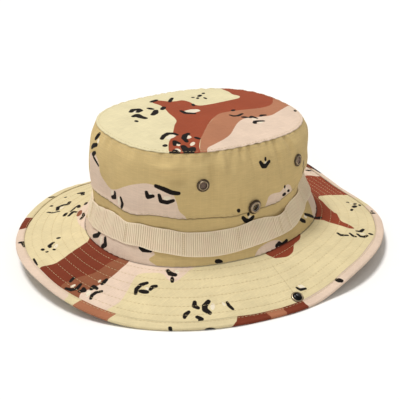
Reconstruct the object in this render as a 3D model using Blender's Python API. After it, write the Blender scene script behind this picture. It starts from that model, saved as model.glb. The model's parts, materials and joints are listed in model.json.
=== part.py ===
"""Boonie hat: sewn crown, three-ply brim that snaps up at both sides, webbing band, vents and snaps.

Metres, +Z up. The hat lies as worn, on the flat arcs of its brim's rim at z = 0. -X is the wearer's front,
-Y the wearer's left. Every ply is a closed shell of its own, 0.3 mm clear of its neighbours.
"""
import math

import bmesh
import bpy
from mathutils import Matrix, Vector

# Driving dimensions, metres and degrees.
GAP = 0.0003                    # air between two pieces that touch
CLOTH = 0.0006                  # thickness of one ply of cotton
AROUND = 60                     # facets round the hat
BRIM_STEPS = 3                  # and across the brim, inside its binding

BASE_HALF_X = 0.1025            # seam between crown and brim, an oval
BASE_HALF_Y = 0.0845
BASE_POWER = 2.15
BASE_Z = 0.0250
FOOT_BULGE = 0.0022             # the seam is pulled outwards at both sides, by the snaps
FOOT_BULGE_TURN = 2             # degrees from the side towards the front at which it is greatest
FOOT_BULGE_SPREAD = 13          # degrees
CENTRE_X = 0.0012               # puts the origin at the middle of the whole hat's box
CENTRE_Y = -0.0010
TOP_HALF_X = 0.0877             # seam between crown side and crown top, squarer
TOP_HALF_Y = 0.0655
TOP_POWER = 2.5
TOP_SHIFT_X = -0.0014
TOP_Z = 0.1135
TOP_TILT = -0.07                # the top falls towards the back
TOP_DOME = 0.0030               # how far the top panel crowns above its seam
SIDE_SWELL = (0, -1.0, -3.6, -4.6, -3.2, -1.0, 0.8, 2.2, 3.0, 2.8, 0)   # mm, every tenth of the height
LOWER_SEAM = 0.42               # share of the side's height at which its two strips are sewn

BRIM_WIDTH = 0.0602
BRIM_DROOP = (20, 3, 24.5, 20, 12, 12, 10, 23, 24, 24, 12, 14)   # degrees, every 30 degrees from +X
INTERLINING = 0.0007
REST_BLEND = 0.0005             # how softly a drooping brim flattens where it meets the table
BINDING_WIDTH = 0.0078
BINDING = 0.0006
RIM_INSET = 0.0015              # the plies end this far inside the binding's fold
RIM_BEND = 0.0580               # where a rim that rests on the table lies flat from

HINGE_OFFSET = 0.0074           # fold line's distance outside the crown seam, at the side
HINGE_GAP = 0.0008              # slit between the middle of the brim and a flap

BAND_CENTRE = 0.235             # webbing's middle and half its width, as shares of the side's height
BAND_HALF = 0.107
BAND_DIP = 0.040                # it sits lower at both sides than at the front and back
BAND_DIP_ANGLE = 253            # degrees
BAND_THICKNESS = 0.0011
BAND_STAND_OFF = 0.0012         # the webbing's distance from the cloth between two tacks
TACK_STAND_OFF = 0.0004
TACKS = 12

SWEATBAND = 0.0009

SEAM_SLIT = 0.0018              # share of the height that each strip stops short of the lower crown seam
SWEATBAND_SHARES = (0.010, 0.12, 0.25, 0.34)                            # rows of corners up the side
LOWER_SHARES = (0.005, 0.12, 0.25, 0.34, LOWER_SEAM - SEAM_SLIT)
UPPER_SHARES = (LOWER_SEAM + SEAM_SLIT, 0.64, 0.83, 0.93, 0.996)

VENT_SIDE_X = 0.048             # vents stand this far each side of the snap
VENT_HEIGHT = 0.735             # share of the side's height
VENT_RADIUS = 0.0052
VENT_HOLE = 0.0026
VENT_WALL = 0.0005              # of the eyelet's barrel
VENT_FLANGE = 0.0011            # height of its flange
VENT_ROLL = 0.0008              # reach of the rolled lip inside, which holds the washer
WASHER = 0.0005
SCREEN_WIRE = 0.0005
SNAP_X = -0.0033                # snaps stand a little in front of the middle of the side
SNAP_HEIGHT = 0.440
SNAP_RADIUS = 0.0060
SOCKET_TOP = 0.0030             # above the crown cloth's middle surface
SOCKET_FLOOR = 0.0007
SOCKET_RECESS = 0.0031          # radius
SPRING_LIFT = 0.0005            # above the socket's floor
SPRING_WIRE = 0.0004
STUD_REACH = 0.0472             # from the crown seam
STUD_RADIUS = 0.0046
STUD_BALL = 0.0019
STUD_TALL = 0.0030
STUD_FLANGE = 0.0009
STUD_POST = 0.0008
CAP_TALL = 0.0011
BEVEL = 0.0006                  # on the edges of caps and studs

FACETS = 14                     # facets round a metal fitting

SIDES = (("left", -1), ("right", 1))


def make_material(name, colour, roughness, metallic=0.0):
    material = bpy.data.materials.new(name)
    material.use_nodes = True
    shader = material.node_tree.nodes["Principled BSDF"]
    shader.inputs["Base Color"].default_value = (*colour, 1)
    shader.inputs["Roughness"].default_value = roughness
    shader.inputs["Metallic"].default_value = metallic
    material.diffuse_color = (*colour, 1)
    return material


def clear_scene():
    for thing in list(bpy.data.objects):
        bpy.data.objects.remove(thing, do_unlink=True)


# ---- the hat's form -------------------------------------------------------------------------------------

def smooth_through(values, place, wraps):
    """Smooth curve through evenly spaced values, at a place counted in values from the first."""
    index = int(place)
    f = place - index
    around = [index + k for k in (-1, 0, 1, 2)]
    if wraps:
        around = [k % len(values) for k in around]
    else:
        around = [min(max(k, 0), len(values) - 1) for k in around]
    a, b, c, d = (values[k] for k in around)
    return b + 0.5 * f * (c - a + f * (2 * a - 5 * b + 4 * c - d + f * (3 * (b - c) + d - a)))


def oval(half_x, half_y, power, angle):
    """Point of a superellipse in the direction of angle."""
    cos, sin = abs(math.cos(angle)) / half_x, abs(math.sin(angle)) / half_y
    radius = (cos ** power + sin ** power) ** (-1 / power)
    return Vector((radius * math.cos(angle), radius * math.sin(angle)))


def foot_bulge(angle):
    from_side = math.degrees(math.acos(max(-1.0, min(1.0, math.cos(angle))))) - 90 - FOOT_BULGE_TURN
    return FOOT_BULGE * math.exp(-(from_side / FOOT_BULGE_SPREAD) ** 2)


def base_point(angle):
    flat = oval(BASE_HALF_X, BASE_HALF_Y, BASE_POWER, angle)
    flat += flat.normalized() * foot_bulge(angle)
    return flat.to_3d() + Vector((CENTRE_X, CENTRE_Y, BASE_Z))


def top_panel_point(angle, share):
    """Top panel's middle surface; share runs from 0 at its centre to 1 at the seam."""
    flat = oval(TOP_HALF_X, TOP_HALF_Y, TOP_POWER, angle) * share
    x = flat.x + TOP_SHIFT_X
    height = TOP_Z + TOP_TILT * x + TOP_DOME * (1 - share ** 2)
    return Vector((x + CENTRE_X, flat.y + CENTRE_Y, height))


def top_point(angle):
    return top_panel_point(angle, 1)


def outward(curve, angle):
    """Level direction square to a closed curve."""
    step = 0.01
    along = curve(angle + step) - curve(angle - step)
    return Vector((along.y, -along.x, 0)).normalized()


def side_point(angle, share):
    """Crown side's middle surface; share runs from 0 at the brim seam to 1 at the top seam."""
    point = base_point(angle).lerp(top_point(angle), share)
    place = min(max(share, 0), 0.9999) * (len(SIDE_SWELL) - 1)
    swell = smooth_through(SIDE_SWELL, place, wraps=False) / 1000
    return point + outward(base_point, angle) * swell


def side_normal(angle, share):
    step = 0.01
    around = side_point(angle + step, share) - side_point(angle - step, share)
    up = side_point(angle, share + step) - side_point(angle, share - step)
    return around.cross(up).normalized()


def droop(angle):
    """Slope of the brim in radians."""
    place = (angle % math.tau) / math.tau * len(BRIM_DROOP)
    return math.radians(smooth_through(BRIM_DROOP, place, wraps=True))


def brim_stack():
    """Half the thickness of the bound rim."""
    return CLOTH + GAP + INTERLINING / 2 + GAP + BINDING


def brim_point(angle, reach):
    """Brim's middle surface, reach metres out from the crown seam."""
    slope = droop(angle)
    flat = base_point(angle) + outward(base_point, angle) * (reach * math.cos(slope))
    above = BASE_Z - reach * math.sin(slope) - brim_stack()
    if above < -REST_BLEND:
        above = 0.0
    elif above < REST_BLEND:
        above = (above + REST_BLEND) ** 2 / (4 * REST_BLEND)
    return Vector((flat.x, flat.y, above + brim_stack()))


def brim_normal(angle, reach):
    step = 0.004
    around = brim_point(angle + step, reach) - brim_point(angle - step, reach)
    out = brim_point(angle, reach + step / 8) - brim_point(angle, reach - step / 8)
    normal = out.cross(around).normalized()
    return normal if normal.z > 0 else -normal


# ---- mesh helpers ---------------------------------------------------------------------------------------

def add_object(name, mesh, material, parent=None, smooth=True):
    thing = bpy.data.objects.new(name, mesh)
    bpy.context.collection.objects.link(thing)
    mesh.materials.append(material)
    if smooth:
        mesh.shade_smooth()
        mesh.set_sharp_from_angle(angle=math.radians(50))
    if parent is not None:
        thing.parent = parent
        thing.matrix_parent_inverse = Matrix.Translation(-parent.location)
    return thing


def mesh_from(points, faces, name):
    mesh = bpy.data.meshes.new(name)
    mesh.from_pydata([tuple(p) for p in points], [], faces)
    graph = bmesh.new()
    graph.from_mesh(mesh)
    bmesh.ops.recalc_face_normals(graph, faces=graph.faces)
    graph.to_mesh(mesh)
    graph.free()
    return mesh


def ring_shell(name, section):
    """Sweep a closed section round the hat: section(angle) gives its corners at that angle.

    Every quad is split along the diagonal that starts nearer the crown's top, so that plies lie parallel.
    """
    points = []
    for step in range(AROUND):
        points += section(math.tau * step / AROUND)
    size = len(points) // AROUND
    from_top = [point.xy.length - point.z for point in points]
    faces = []
    for step in range(AROUND):
        here, there = step * size, (step + 1) % AROUND * size
        for k in range(size):
            nxt = (k + 1) % size
            if from_top[here + k] < from_top[here + nxt]:
                faces.append((here + k, here + nxt, there + nxt))
                faces.append((here + k, there + nxt, there + k))
            else:
                faces.append((here + k, here + nxt, there + k))
                faces.append((here + nxt, there + nxt, there + k))
    return mesh_from(points, faces, name)


def brim_section(low, high, inner, outer):
    """Closed section between two offsets from the brim's middle surface, from inner to outer reach.

    Under the binding it has the binding's own corners, so that the two bend alike.
    """
    rim = BRIM_WIDTH - BINDING_WIDTH
    reaches = [inner + (rim - inner) * k / BRIM_STEPS for k in range(BRIM_STEPS + 1)] + [RIM_BEND, outer]

    def section(angle):
        under = [brim_point(angle, r) + brim_normal(angle, r) * low for r in reaches]
        over = [brim_point(angle, r) + brim_normal(angle, r) * high for r in reaches]
        return under + over[::-1]
    return section


def side_section(low, high, shares):
    """The same, up the crown's side: offsets from its middle surface, at shares of its height."""
    def section(angle):
        inside = [side_point(angle, s) + side_normal(angle, s) * low for s in shares]
        outside = [side_point(angle, s) + side_normal(angle, s) * high for s in shares]
        return inside + outside[::-1]
    return section


def hidden_block(name, low, high):
    """Box that another object is cut with."""
    corners = [(x, y, z) for x in (low[0], high[0]) for y in (low[1], high[1]) for z in (low[2], high[2])]
    faces = [(0, 1, 3, 2), (4, 6, 7, 5), (0, 4, 5, 1), (2, 3, 7, 6), (0, 2, 6, 4), (1, 5, 7, 3)]
    block = bpy.data.objects.new(name, mesh_from(corners, faces, name))
    bpy.context.collection.objects.link(block)
    block.hide_render = True
    block.display_type = "WIRE"
    return block


def keep_inside(thing, block):
    cut = thing.modifiers.new("keep", "BOOLEAN")
    cut.operation = "INTERSECT"
    cut.solver = "EXACT"
    cut.object = block


def turned(name, profile, matrix, material, parent=None, closed=False):
    """Revolve (radius, height) corners about Z and place the piece. An open profile ends on the axis."""
    points = []
    faces = []
    rows = []
    for radius, height in profile:
        if radius == 0:
            rows.append([len(points)])
            points.append(matrix @ Vector((0, 0, height)))
            continue
        rows.append(list(range(len(points), len(points) + FACETS)))
        for k in range(FACETS):
            turn = math.tau * k / FACETS
            points.append(matrix @ Vector((radius * math.cos(turn), radius * math.sin(turn), height)))
    pairs = list(zip(rows, rows[1:]))
    if closed:
        pairs.append((rows[-1], rows[0]))
    for one, two in pairs:
        for k in range(FACETS):
            nxt = (k + 1) % FACETS
            if len(one) == 1:
                faces.append((one[0], two[nxt], two[k]))
            elif len(two) == 1:
                faces.append((one[k], one[nxt], two[0]))
            else:
                faces.append((one[k], one[nxt], two[nxt], two[k]))
    return add_object(name, mesh_from(points, faces, name), material, parent)


def pierce(thing, frame, radius):
    """Cut a round hole along a fitting's axis."""
    through = 0.012
    graph = bmesh.new()
    bmesh.ops.create_cone(
        graph, cap_ends=True, segments=FACETS, depth=through, radius1=radius, radius2=radius)
    mesh = bpy.data.meshes.new("drill")
    graph.to_mesh(mesh)
    graph.free()
    mesh.transform(frame)
    drill = bpy.data.objects.new("drill", mesh)
    bpy.context.collection.objects.link(drill)
    drill.hide_render = True
    drill.display_type = "WIRE"
    cut = thing.modifiers.new("hole", "BOOLEAN")
    cut.operation = "DIFFERENCE"
    cut.solver = "EXACT"
    cut.object = drill


def fitting_frame(point, normal):
    """Matrix of a fitting whose Z is the cloth's outward normal."""
    side = Vector((0, 0, 1)).cross(normal).normalized()
    if side.length < 0.5:
        side = Vector((1, 0, 0))
    up = normal.cross(side)
    matrix = Matrix((side, up, normal)).transposed().to_4x4()
    matrix.translation = point
    return matrix


def angle_at(side, x, share):
    """Angle at which the crown's side, at that height, is x from the hat's middle."""
    low, high = (-math.pi, 0.0) if side < 0 else (math.pi, 0.0)
    for _ in range(40):
        middle = (low + high) / 2
        if side_point(middle, share).x - CENTRE_X < x:
            low = middle
        else:
            high = middle
    return middle


def side_frame(side, x, share):
    angle = angle_at(side, x, share)
    return fitting_frame(side_point(angle, share), side_normal(angle, share))


def stud_frame(side):
    angle = side * (math.pi / 2 - math.asin(SNAP_X / (BASE_HALF_Y + STUD_REACH)))
    return fitting_frame(brim_point(angle, STUD_REACH), brim_normal(angle, STUD_REACH))


# ---- crown ----------------------------------------------------------------------------------------------

def crown_top(material):
    """Oval top panel, slightly domed, lying on the side's top edge."""
    rings = (1.0, 0.72, 0.42)
    lift = CLOTH + GAP
    points = []
    for offset in (lift - CLOTH / 2, lift + CLOTH / 2):
        for share in rings:
            points += [top_panel_point(math.tau * k / AROUND, share) + Vector((0, 0, offset))
                       for k in range(AROUND)]
        points.append(top_panel_point(0, 0) + Vector((0, 0, offset)))
    layer = len(rings) * AROUND + 1
    faces = []
    for k in range(AROUND):
        nxt = (k + 1) % AROUND
        for start in (0, layer):
            for ring in range(len(rings) - 1):
                one, two = start + ring * AROUND, start + (ring + 1) * AROUND
                faces.append((one + k, one + nxt, two + nxt, two + k))
            last = start + (len(rings) - 1) * AROUND
            faces.append((last + k, last + nxt, start + layer - 1))
        faces.append((k, nxt, layer + nxt, layer + k))
    return add_object("crown_top", mesh_from(points, faces, "crown_top"), material)


def crown_sides(material):
    """The side's lower and upper strips, which meet at the lower crown seam."""
    half = CLOTH / 2
    lower = ring_shell("crown_side_lower", side_section(-half, half, LOWER_SHARES))
    upper = ring_shell("crown_side_upper", side_section(-half, half, UPPER_SHARES))
    return add_object("crown_side_lower", lower, material), add_object("crown_side_upper", upper, material)


def loop_band(material):
    """Webbing tacked to the crown, standing off between its tacks."""
    def section(angle):
        wave = math.sin(TACKS / 2 * angle) ** 2
        inside = CLOTH / 2 + TACK_STAND_OFF + BAND_STAND_OFF * wave
        middle = BAND_CENTRE - BAND_DIP * math.cos(2 * (angle - math.radians(BAND_DIP_ANGLE)))
        shares = (middle - BAND_HALF, middle + BAND_HALF)
        near = [side_point(angle, s) + side_normal(angle, s) * inside for s in shares]
        far = [side_point(angle, s) + side_normal(angle, s) * (inside + BAND_THICKNESS) for s in shares]
        return near + far[::-1]
    return add_object("loop_band", ring_shell("loop_band", section), material)


def sweatband(material):
    outside = -CLOTH / 2 - GAP
    shell = ring_shell("sweatband", side_section(outside - SWEATBAND, outside, SWEATBAND_SHARES))
    return add_object("sweatband", shell, material)


# ---- brim -----------------------------------------------------------------------------------------------

def fold_y(side):
    return CENTRE_Y + side * (BASE_HALF_Y + HINGE_OFFSET)


def brim_blocks():
    """Boxes that split the brim into its middle and its two flaps, and the binding's middle in two."""
    far, tall = 0.3, 0.2
    left, right = fold_y(-1) + HINGE_GAP / 2, fold_y(1) - HINGE_GAP / 2
    return {
        "middle": hidden_block("middle_block", (-far, left, -tall), (far, right, tall)),
        "left": hidden_block("left_block", (-far, -far, -tall), (far, left - HINGE_GAP, tall)),
        "right": hidden_block("right_block", (-far, right + HINGE_GAP, -tall), (far, far, tall)),
        "front": hidden_block("front_block", (-far, left, -tall), (0, right, tall)),
        "rear": hidden_block("rear_block", (0, left, -tall), (far, right, tall)),
    }


def brim_plies(blocks, pivots, materials):
    """Three plies, each cut into a middle and two flaps."""
    inner = CLOTH / 2 + 2 * GAP
    outer = BRIM_WIDTH - BINDING - RIM_INSET
    filling = INTERLINING / 2
    cloth_low = filling + GAP
    plies = (
        ("brim_upper", cloth_low, cloth_low + CLOTH, "cloth"),
        ("brim_interlining", -filling, filling, "interlining"),
        ("brim_under", -cloth_low - CLOTH, -cloth_low, "cloth"),
    )
    for ply, low, high, kind in plies:
        for region in ("middle", "left", "right"):
            name = f"{ply}_{region}"
            shell = ring_shell(name, brim_section(low, high, inner, outer))
            thing = add_object(name, shell, materials[kind], pivots.get(region))
            keep_inside(thing, blocks[region])
            if region in pivots:
                side = -1 if region == "left" else 1
                pierce(thing, stud_frame(side), STUD_POST + GAP)


def binding_section(angle):
    """Tape folded round the rim: a C whose legs lie over and under the plies."""
    inside = INTERLINING / 2 + GAP + CLOTH + GAP
    outside = inside + BINDING
    fold = BRIM_WIDTH - BINDING
    reaches = (BRIM_WIDTH - BINDING_WIDTH, RIM_BEND, fold)
    over = [brim_point(angle, r) + brim_normal(angle, r) * outside for r in reaches]
    over_in = [brim_point(angle, r) + brim_normal(angle, r) * inside for r in reaches]
    under = [brim_point(angle, r) - brim_normal(angle, r) * outside for r in reaches]
    under_in = [brim_point(angle, r) - brim_normal(angle, r) * inside for r in reaches]
    edge = brim_point(angle, BRIM_WIDTH)
    lift = brim_normal(angle, BRIM_WIDTH) * (inside * 0.8)
    return over + [edge + lift, edge - lift] + under[::-1] + under_in + over_in[::-1]


def edge_binding(blocks, pivots, material):
    for region in ("front", "rear", "left", "right"):
        name = f"binding_{region}"
        thing = add_object(name, ring_shell(name, binding_section), material, pivots.get(region))
        keep_inside(thing, blocks[region])


# ---- vents and snaps ------------------------------------------------------------------------------------

CLEAR = CLOTH / 2 + 2 * GAP            # a flat fitting's distance from the curved cloth's middle surface


def vent(name, frame, materials):
    """Screened eyelet: flanged barrel outside, washer inside, wire screen across the bore."""
    barrel = VENT_HOLE + VENT_WALL
    lip = CLEAR + GAP + WASHER
    roll = barrel + VENT_ROLL
    turned(f"{name}_eyelet", [
        (VENT_HOLE, -lip - VENT_WALL), (VENT_HOLE, CLEAR + VENT_FLANGE / 2), (barrel, CLEAR + VENT_FLANGE),
        (VENT_RADIUS - VENT_FLANGE, CLEAR + VENT_FLANGE), (VENT_RADIUS, CLEAR + VENT_FLANGE / 2),
        (VENT_RADIUS, CLEAR), (barrel, CLEAR), (barrel, -lip), (roll, -lip), (roll, -lip - VENT_WALL),
    ], frame, materials["brass"], closed=True)
    turned(f"{name}_washer", [
        (barrel + GAP, -CLEAR), (VENT_RADIUS, -CLEAR), (VENT_RADIUS, -CLEAR - WASHER),
        (barrel + GAP, -CLEAR - WASHER),
    ], frame, materials["brass"], closed=True)
    screen = VENT_HOLE - GAP
    turned(f"{name}_screen", [
        (0, CLEAR - SCREEN_WIRE), (screen, CLEAR - SCREEN_WIRE), (screen, CLEAR), (0, CLEAR),
    ], frame, materials["screen"])


def crown_snap(name, frame, materials):
    """Socket outside, spring ring in its recess, and behind the cloth a cap whose post holds them."""
    floor = CLEAR + SOCKET_FLOOR
    hole = STUD_POST + 2 * GAP
    turned(f"{name}_socket", [
        (hole, CLEAR), (hole, floor), (SOCKET_RECESS, floor), (SOCKET_RECESS, SOCKET_TOP - GAP),
        (SOCKET_RECESS + BEVEL, SOCKET_TOP), (SNAP_RADIUS - 2 * BEVEL, SOCKET_TOP),
        (SNAP_RADIUS, CLEAR + SOCKET_FLOOR), (SNAP_RADIUS, CLEAR),
    ], frame, materials["brass"], closed=True)
    ring_low = floor + SPRING_LIFT
    ring_high = ring_low + SPRING_WIRE
    ring_out = SOCKET_RECESS - GAP
    ring_in = ring_out - SPRING_WIRE
    turned(f"{name}_spring", [
        (ring_in, ring_low), (ring_out, ring_low), (ring_out, ring_high), (ring_in, ring_high),
    ], frame, materials["steel"], closed=True)
    cap = SNAP_RADIUS - BEVEL
    turned(f"{name}_cap", [
        (0, -CLEAR - CAP_TALL), (cap - BEVEL, -CLEAR - CAP_TALL), (cap, -CLEAR - CAP_TALL + BEVEL),
        (cap, -CLEAR), (STUD_POST, -CLEAR), (STUD_POST, floor), (0, floor),
    ], frame, materials["brass"])


def brim_snap(name, frame, materials, pivot):
    """Stud on the brim's upper face, riveted to a cap below."""
    top = brim_stack() - BINDING + 0.5 * GAP
    post_end = top + STUD_FLANGE
    roof = top + STUD_TALL
    turned(f"{name}_stud", [
        (0, roof), (STUD_BALL - BEVEL, roof), (STUD_BALL, roof - BEVEL), (STUD_BALL, roof - 2 * BEVEL),
        (STUD_BALL - BEVEL, post_end + GAP), (STUD_RADIUS - 2 * BEVEL, top + STUD_FLANGE),
        (STUD_RADIUS, top + GAP), (STUD_RADIUS, top), (STUD_POST + GAP, top),
        (STUD_POST + GAP, post_end + GAP), (0, post_end + GAP),
    ], frame, materials["dark"], pivot)
    rim = STUD_FLANGE - BEVEL
    turned(f"{name}_cap", [
        (0, post_end), (STUD_POST, post_end), (STUD_POST, -top), (STUD_RADIUS, -top),
        (STUD_RADIUS, -top - rim), (STUD_RADIUS - BEVEL, -top - STUD_FLANGE), (0, -top - STUD_FLANGE),
    ], frame, materials["dark"], pivot)


def fittings(lower, upper, pivots, materials):
    for word, side in SIDES:
        for place, x in (("front", -VENT_SIDE_X), ("rear", VENT_SIDE_X)):
            frame = side_frame(side, x, VENT_HEIGHT)
            pierce(upper, frame, VENT_HOLE + VENT_WALL + GAP)
            vent(f"vent_{word}_{place}", frame, materials)
        frame = side_frame(side, SNAP_X, SNAP_HEIGHT)
        pierce(upper, frame, STUD_POST + GAP)
        pierce(lower, frame, STUD_POST + GAP)
        crown_snap(f"crown_snap_{word}", frame, materials)
        brim_snap(f"brim_snap_{word}", stud_frame(side), materials, pivots[word])


def main():
    clear_scene()
    materials = {
        "cloth": make_material("camouflage cotton", (0.72, 0.60, 0.38), 0.85),
        "webbing": make_material("webbing", (0.70, 0.62, 0.48), 0.8),
        "interlining": make_material("interlining", (0.75, 0.73, 0.68), 0.9),
        "brass": make_material("antique brass", (0.20, 0.15, 0.09), 0.35, 1.0),
        "dark": make_material("gunmetal", (0.06, 0.06, 0.06), 0.3, 1.0),
        "steel": make_material("spring steel", (0.55, 0.55, 0.55), 0.3, 1.0),
        "screen": make_material("wire screen", (0.12, 0.10, 0.08), 0.45, 1.0),
    }
    pivots = {}
    for word, side in SIDES:
        pivot = bpy.data.objects.new(f"{word}_fold", None)
        pivot.location = (0, fold_y(side), BASE_Z)
        bpy.context.collection.objects.link(pivot)
        pivots[word] = pivot
    crown_top(materials["cloth"])
    lower, upper = crown_sides(materials["cloth"])
    loop_band(materials["webbing"])
    sweatband(materials["cloth"])
    blocks = brim_blocks()
    brim_plies(blocks, pivots, materials)
    edge_binding(blocks, pivots, materials["cloth"])
    fittings(lower, upper, pivots, materials)


main()
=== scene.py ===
"""The boonie hat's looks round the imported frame: printed cotton, quilted brim, webbing, vents, snaps.

Metres, +Z up, -X the wearer's front, -Y the wearer's left. The print is drawn on flat charts in mm.
"""

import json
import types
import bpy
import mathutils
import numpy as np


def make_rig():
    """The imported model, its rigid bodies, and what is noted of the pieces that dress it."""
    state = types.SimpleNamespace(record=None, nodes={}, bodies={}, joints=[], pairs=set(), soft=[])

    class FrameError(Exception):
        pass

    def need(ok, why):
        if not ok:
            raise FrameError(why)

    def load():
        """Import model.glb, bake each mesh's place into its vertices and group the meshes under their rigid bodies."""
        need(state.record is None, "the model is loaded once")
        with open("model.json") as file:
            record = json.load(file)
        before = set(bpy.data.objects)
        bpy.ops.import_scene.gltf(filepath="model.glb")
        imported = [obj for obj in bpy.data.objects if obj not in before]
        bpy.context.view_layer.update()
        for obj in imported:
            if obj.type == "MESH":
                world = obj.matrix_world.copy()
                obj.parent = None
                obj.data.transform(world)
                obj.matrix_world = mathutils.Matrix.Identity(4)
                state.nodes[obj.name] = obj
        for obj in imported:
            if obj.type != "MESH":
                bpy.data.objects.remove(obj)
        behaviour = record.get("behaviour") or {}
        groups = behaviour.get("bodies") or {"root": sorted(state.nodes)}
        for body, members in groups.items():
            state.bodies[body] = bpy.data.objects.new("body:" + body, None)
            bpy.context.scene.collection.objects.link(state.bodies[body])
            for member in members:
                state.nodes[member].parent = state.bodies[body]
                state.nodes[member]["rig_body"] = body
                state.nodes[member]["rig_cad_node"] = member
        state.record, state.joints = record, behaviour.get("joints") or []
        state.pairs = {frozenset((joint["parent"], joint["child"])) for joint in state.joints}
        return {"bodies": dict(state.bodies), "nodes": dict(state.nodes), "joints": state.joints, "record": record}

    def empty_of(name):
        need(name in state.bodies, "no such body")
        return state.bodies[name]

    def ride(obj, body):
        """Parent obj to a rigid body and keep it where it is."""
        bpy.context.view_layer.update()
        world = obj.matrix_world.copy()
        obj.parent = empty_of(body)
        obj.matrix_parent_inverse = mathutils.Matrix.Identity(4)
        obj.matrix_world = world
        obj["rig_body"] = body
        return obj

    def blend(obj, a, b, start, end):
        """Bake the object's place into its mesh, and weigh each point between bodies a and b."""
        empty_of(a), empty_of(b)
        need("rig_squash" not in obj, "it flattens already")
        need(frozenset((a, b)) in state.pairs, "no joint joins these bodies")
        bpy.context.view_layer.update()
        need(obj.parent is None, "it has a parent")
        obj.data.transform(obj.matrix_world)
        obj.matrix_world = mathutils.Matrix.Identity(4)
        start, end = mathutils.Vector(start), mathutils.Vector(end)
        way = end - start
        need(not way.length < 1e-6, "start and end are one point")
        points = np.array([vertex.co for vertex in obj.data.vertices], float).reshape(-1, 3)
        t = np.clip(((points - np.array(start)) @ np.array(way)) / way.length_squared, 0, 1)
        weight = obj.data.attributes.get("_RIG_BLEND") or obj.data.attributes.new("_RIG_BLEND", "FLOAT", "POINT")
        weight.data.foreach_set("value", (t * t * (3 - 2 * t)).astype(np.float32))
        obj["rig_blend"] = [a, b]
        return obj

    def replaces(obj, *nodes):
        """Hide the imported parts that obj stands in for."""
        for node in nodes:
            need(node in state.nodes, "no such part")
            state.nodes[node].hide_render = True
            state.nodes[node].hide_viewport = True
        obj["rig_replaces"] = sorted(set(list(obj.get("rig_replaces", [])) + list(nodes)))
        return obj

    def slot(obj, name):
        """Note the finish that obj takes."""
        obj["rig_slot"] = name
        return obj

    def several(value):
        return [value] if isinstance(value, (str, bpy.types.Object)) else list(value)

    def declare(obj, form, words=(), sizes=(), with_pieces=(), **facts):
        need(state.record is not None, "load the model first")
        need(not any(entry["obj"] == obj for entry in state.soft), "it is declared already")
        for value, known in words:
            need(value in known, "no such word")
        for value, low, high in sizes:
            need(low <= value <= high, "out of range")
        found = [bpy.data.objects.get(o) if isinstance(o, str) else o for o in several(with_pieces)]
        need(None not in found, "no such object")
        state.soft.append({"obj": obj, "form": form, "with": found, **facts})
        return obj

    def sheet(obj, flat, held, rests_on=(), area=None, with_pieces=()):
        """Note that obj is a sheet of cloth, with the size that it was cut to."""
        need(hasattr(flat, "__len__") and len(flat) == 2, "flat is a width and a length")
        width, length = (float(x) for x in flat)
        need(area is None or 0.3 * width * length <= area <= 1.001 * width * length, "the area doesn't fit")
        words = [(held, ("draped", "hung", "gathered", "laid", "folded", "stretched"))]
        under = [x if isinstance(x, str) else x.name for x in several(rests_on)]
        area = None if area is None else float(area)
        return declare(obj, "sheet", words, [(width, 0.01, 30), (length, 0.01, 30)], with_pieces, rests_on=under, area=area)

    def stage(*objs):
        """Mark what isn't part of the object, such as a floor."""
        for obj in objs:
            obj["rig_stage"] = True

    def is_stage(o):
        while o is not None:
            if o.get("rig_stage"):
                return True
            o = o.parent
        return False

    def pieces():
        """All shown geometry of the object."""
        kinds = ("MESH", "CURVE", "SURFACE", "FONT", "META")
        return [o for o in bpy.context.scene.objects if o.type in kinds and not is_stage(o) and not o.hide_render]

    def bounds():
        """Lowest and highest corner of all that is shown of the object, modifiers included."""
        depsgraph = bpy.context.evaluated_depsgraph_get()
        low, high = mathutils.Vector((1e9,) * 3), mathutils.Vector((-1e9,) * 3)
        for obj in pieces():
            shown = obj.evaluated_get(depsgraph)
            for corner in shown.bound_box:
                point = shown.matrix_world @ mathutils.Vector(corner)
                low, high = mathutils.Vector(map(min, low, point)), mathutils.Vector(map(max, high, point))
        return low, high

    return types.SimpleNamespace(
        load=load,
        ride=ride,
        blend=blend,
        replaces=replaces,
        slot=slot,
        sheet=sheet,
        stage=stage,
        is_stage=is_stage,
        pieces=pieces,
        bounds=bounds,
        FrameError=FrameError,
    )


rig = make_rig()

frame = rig.load()
CAD_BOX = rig.bounds()

import json
import math

import bpy
import numpy as np
from mathutils import Matrix, Vector

MM = 0.001
TURN = 2 * math.pi

# ---- the hat's form, as in the frame -----------------------------------------

CENTRE = np.array([0.0012, -0.0010])
BASE_HALF = (0.1025, 0.0845)            # seam between crown and brim
BASE_POWER = 2.15
BASE_Z = 0.0250
FOOT_BULGE = 0.0022
FOOT_BULGE_TURN = 2                     # degrees
FOOT_BULGE_SPREAD = 13
TOP_HALF = (0.0877, 0.0655)             # seam between crown side and crown top
TOP_POWER = 2.5
TOP_SHIFT_X = -0.0014
TOP_Z = 0.1135
TOP_TILT = -0.07
TOP_DOME = 0.0030
SIDE_SWELL = (0, -1, -3.6, -4.6, -3.2, -1, 0.8, 2.2, 3, 2.8, 0)     # mm, every tenth of the height
BRIM_WIDTH = 0.0602
BRIM_DROOP = (20, 3, 24.5, 20, 12, 12, 10, 23, 24, 24, 12, 14)      # degrees, every 30 from +X
REST_BLEND = 0.0005                     # height over which the brim flattens onto the table
BINDING_WIDTH = 0.0078
CLOTH_REACH = BRIM_WIDTH - 0.0022       # where the brim's plies end inside the binding

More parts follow.
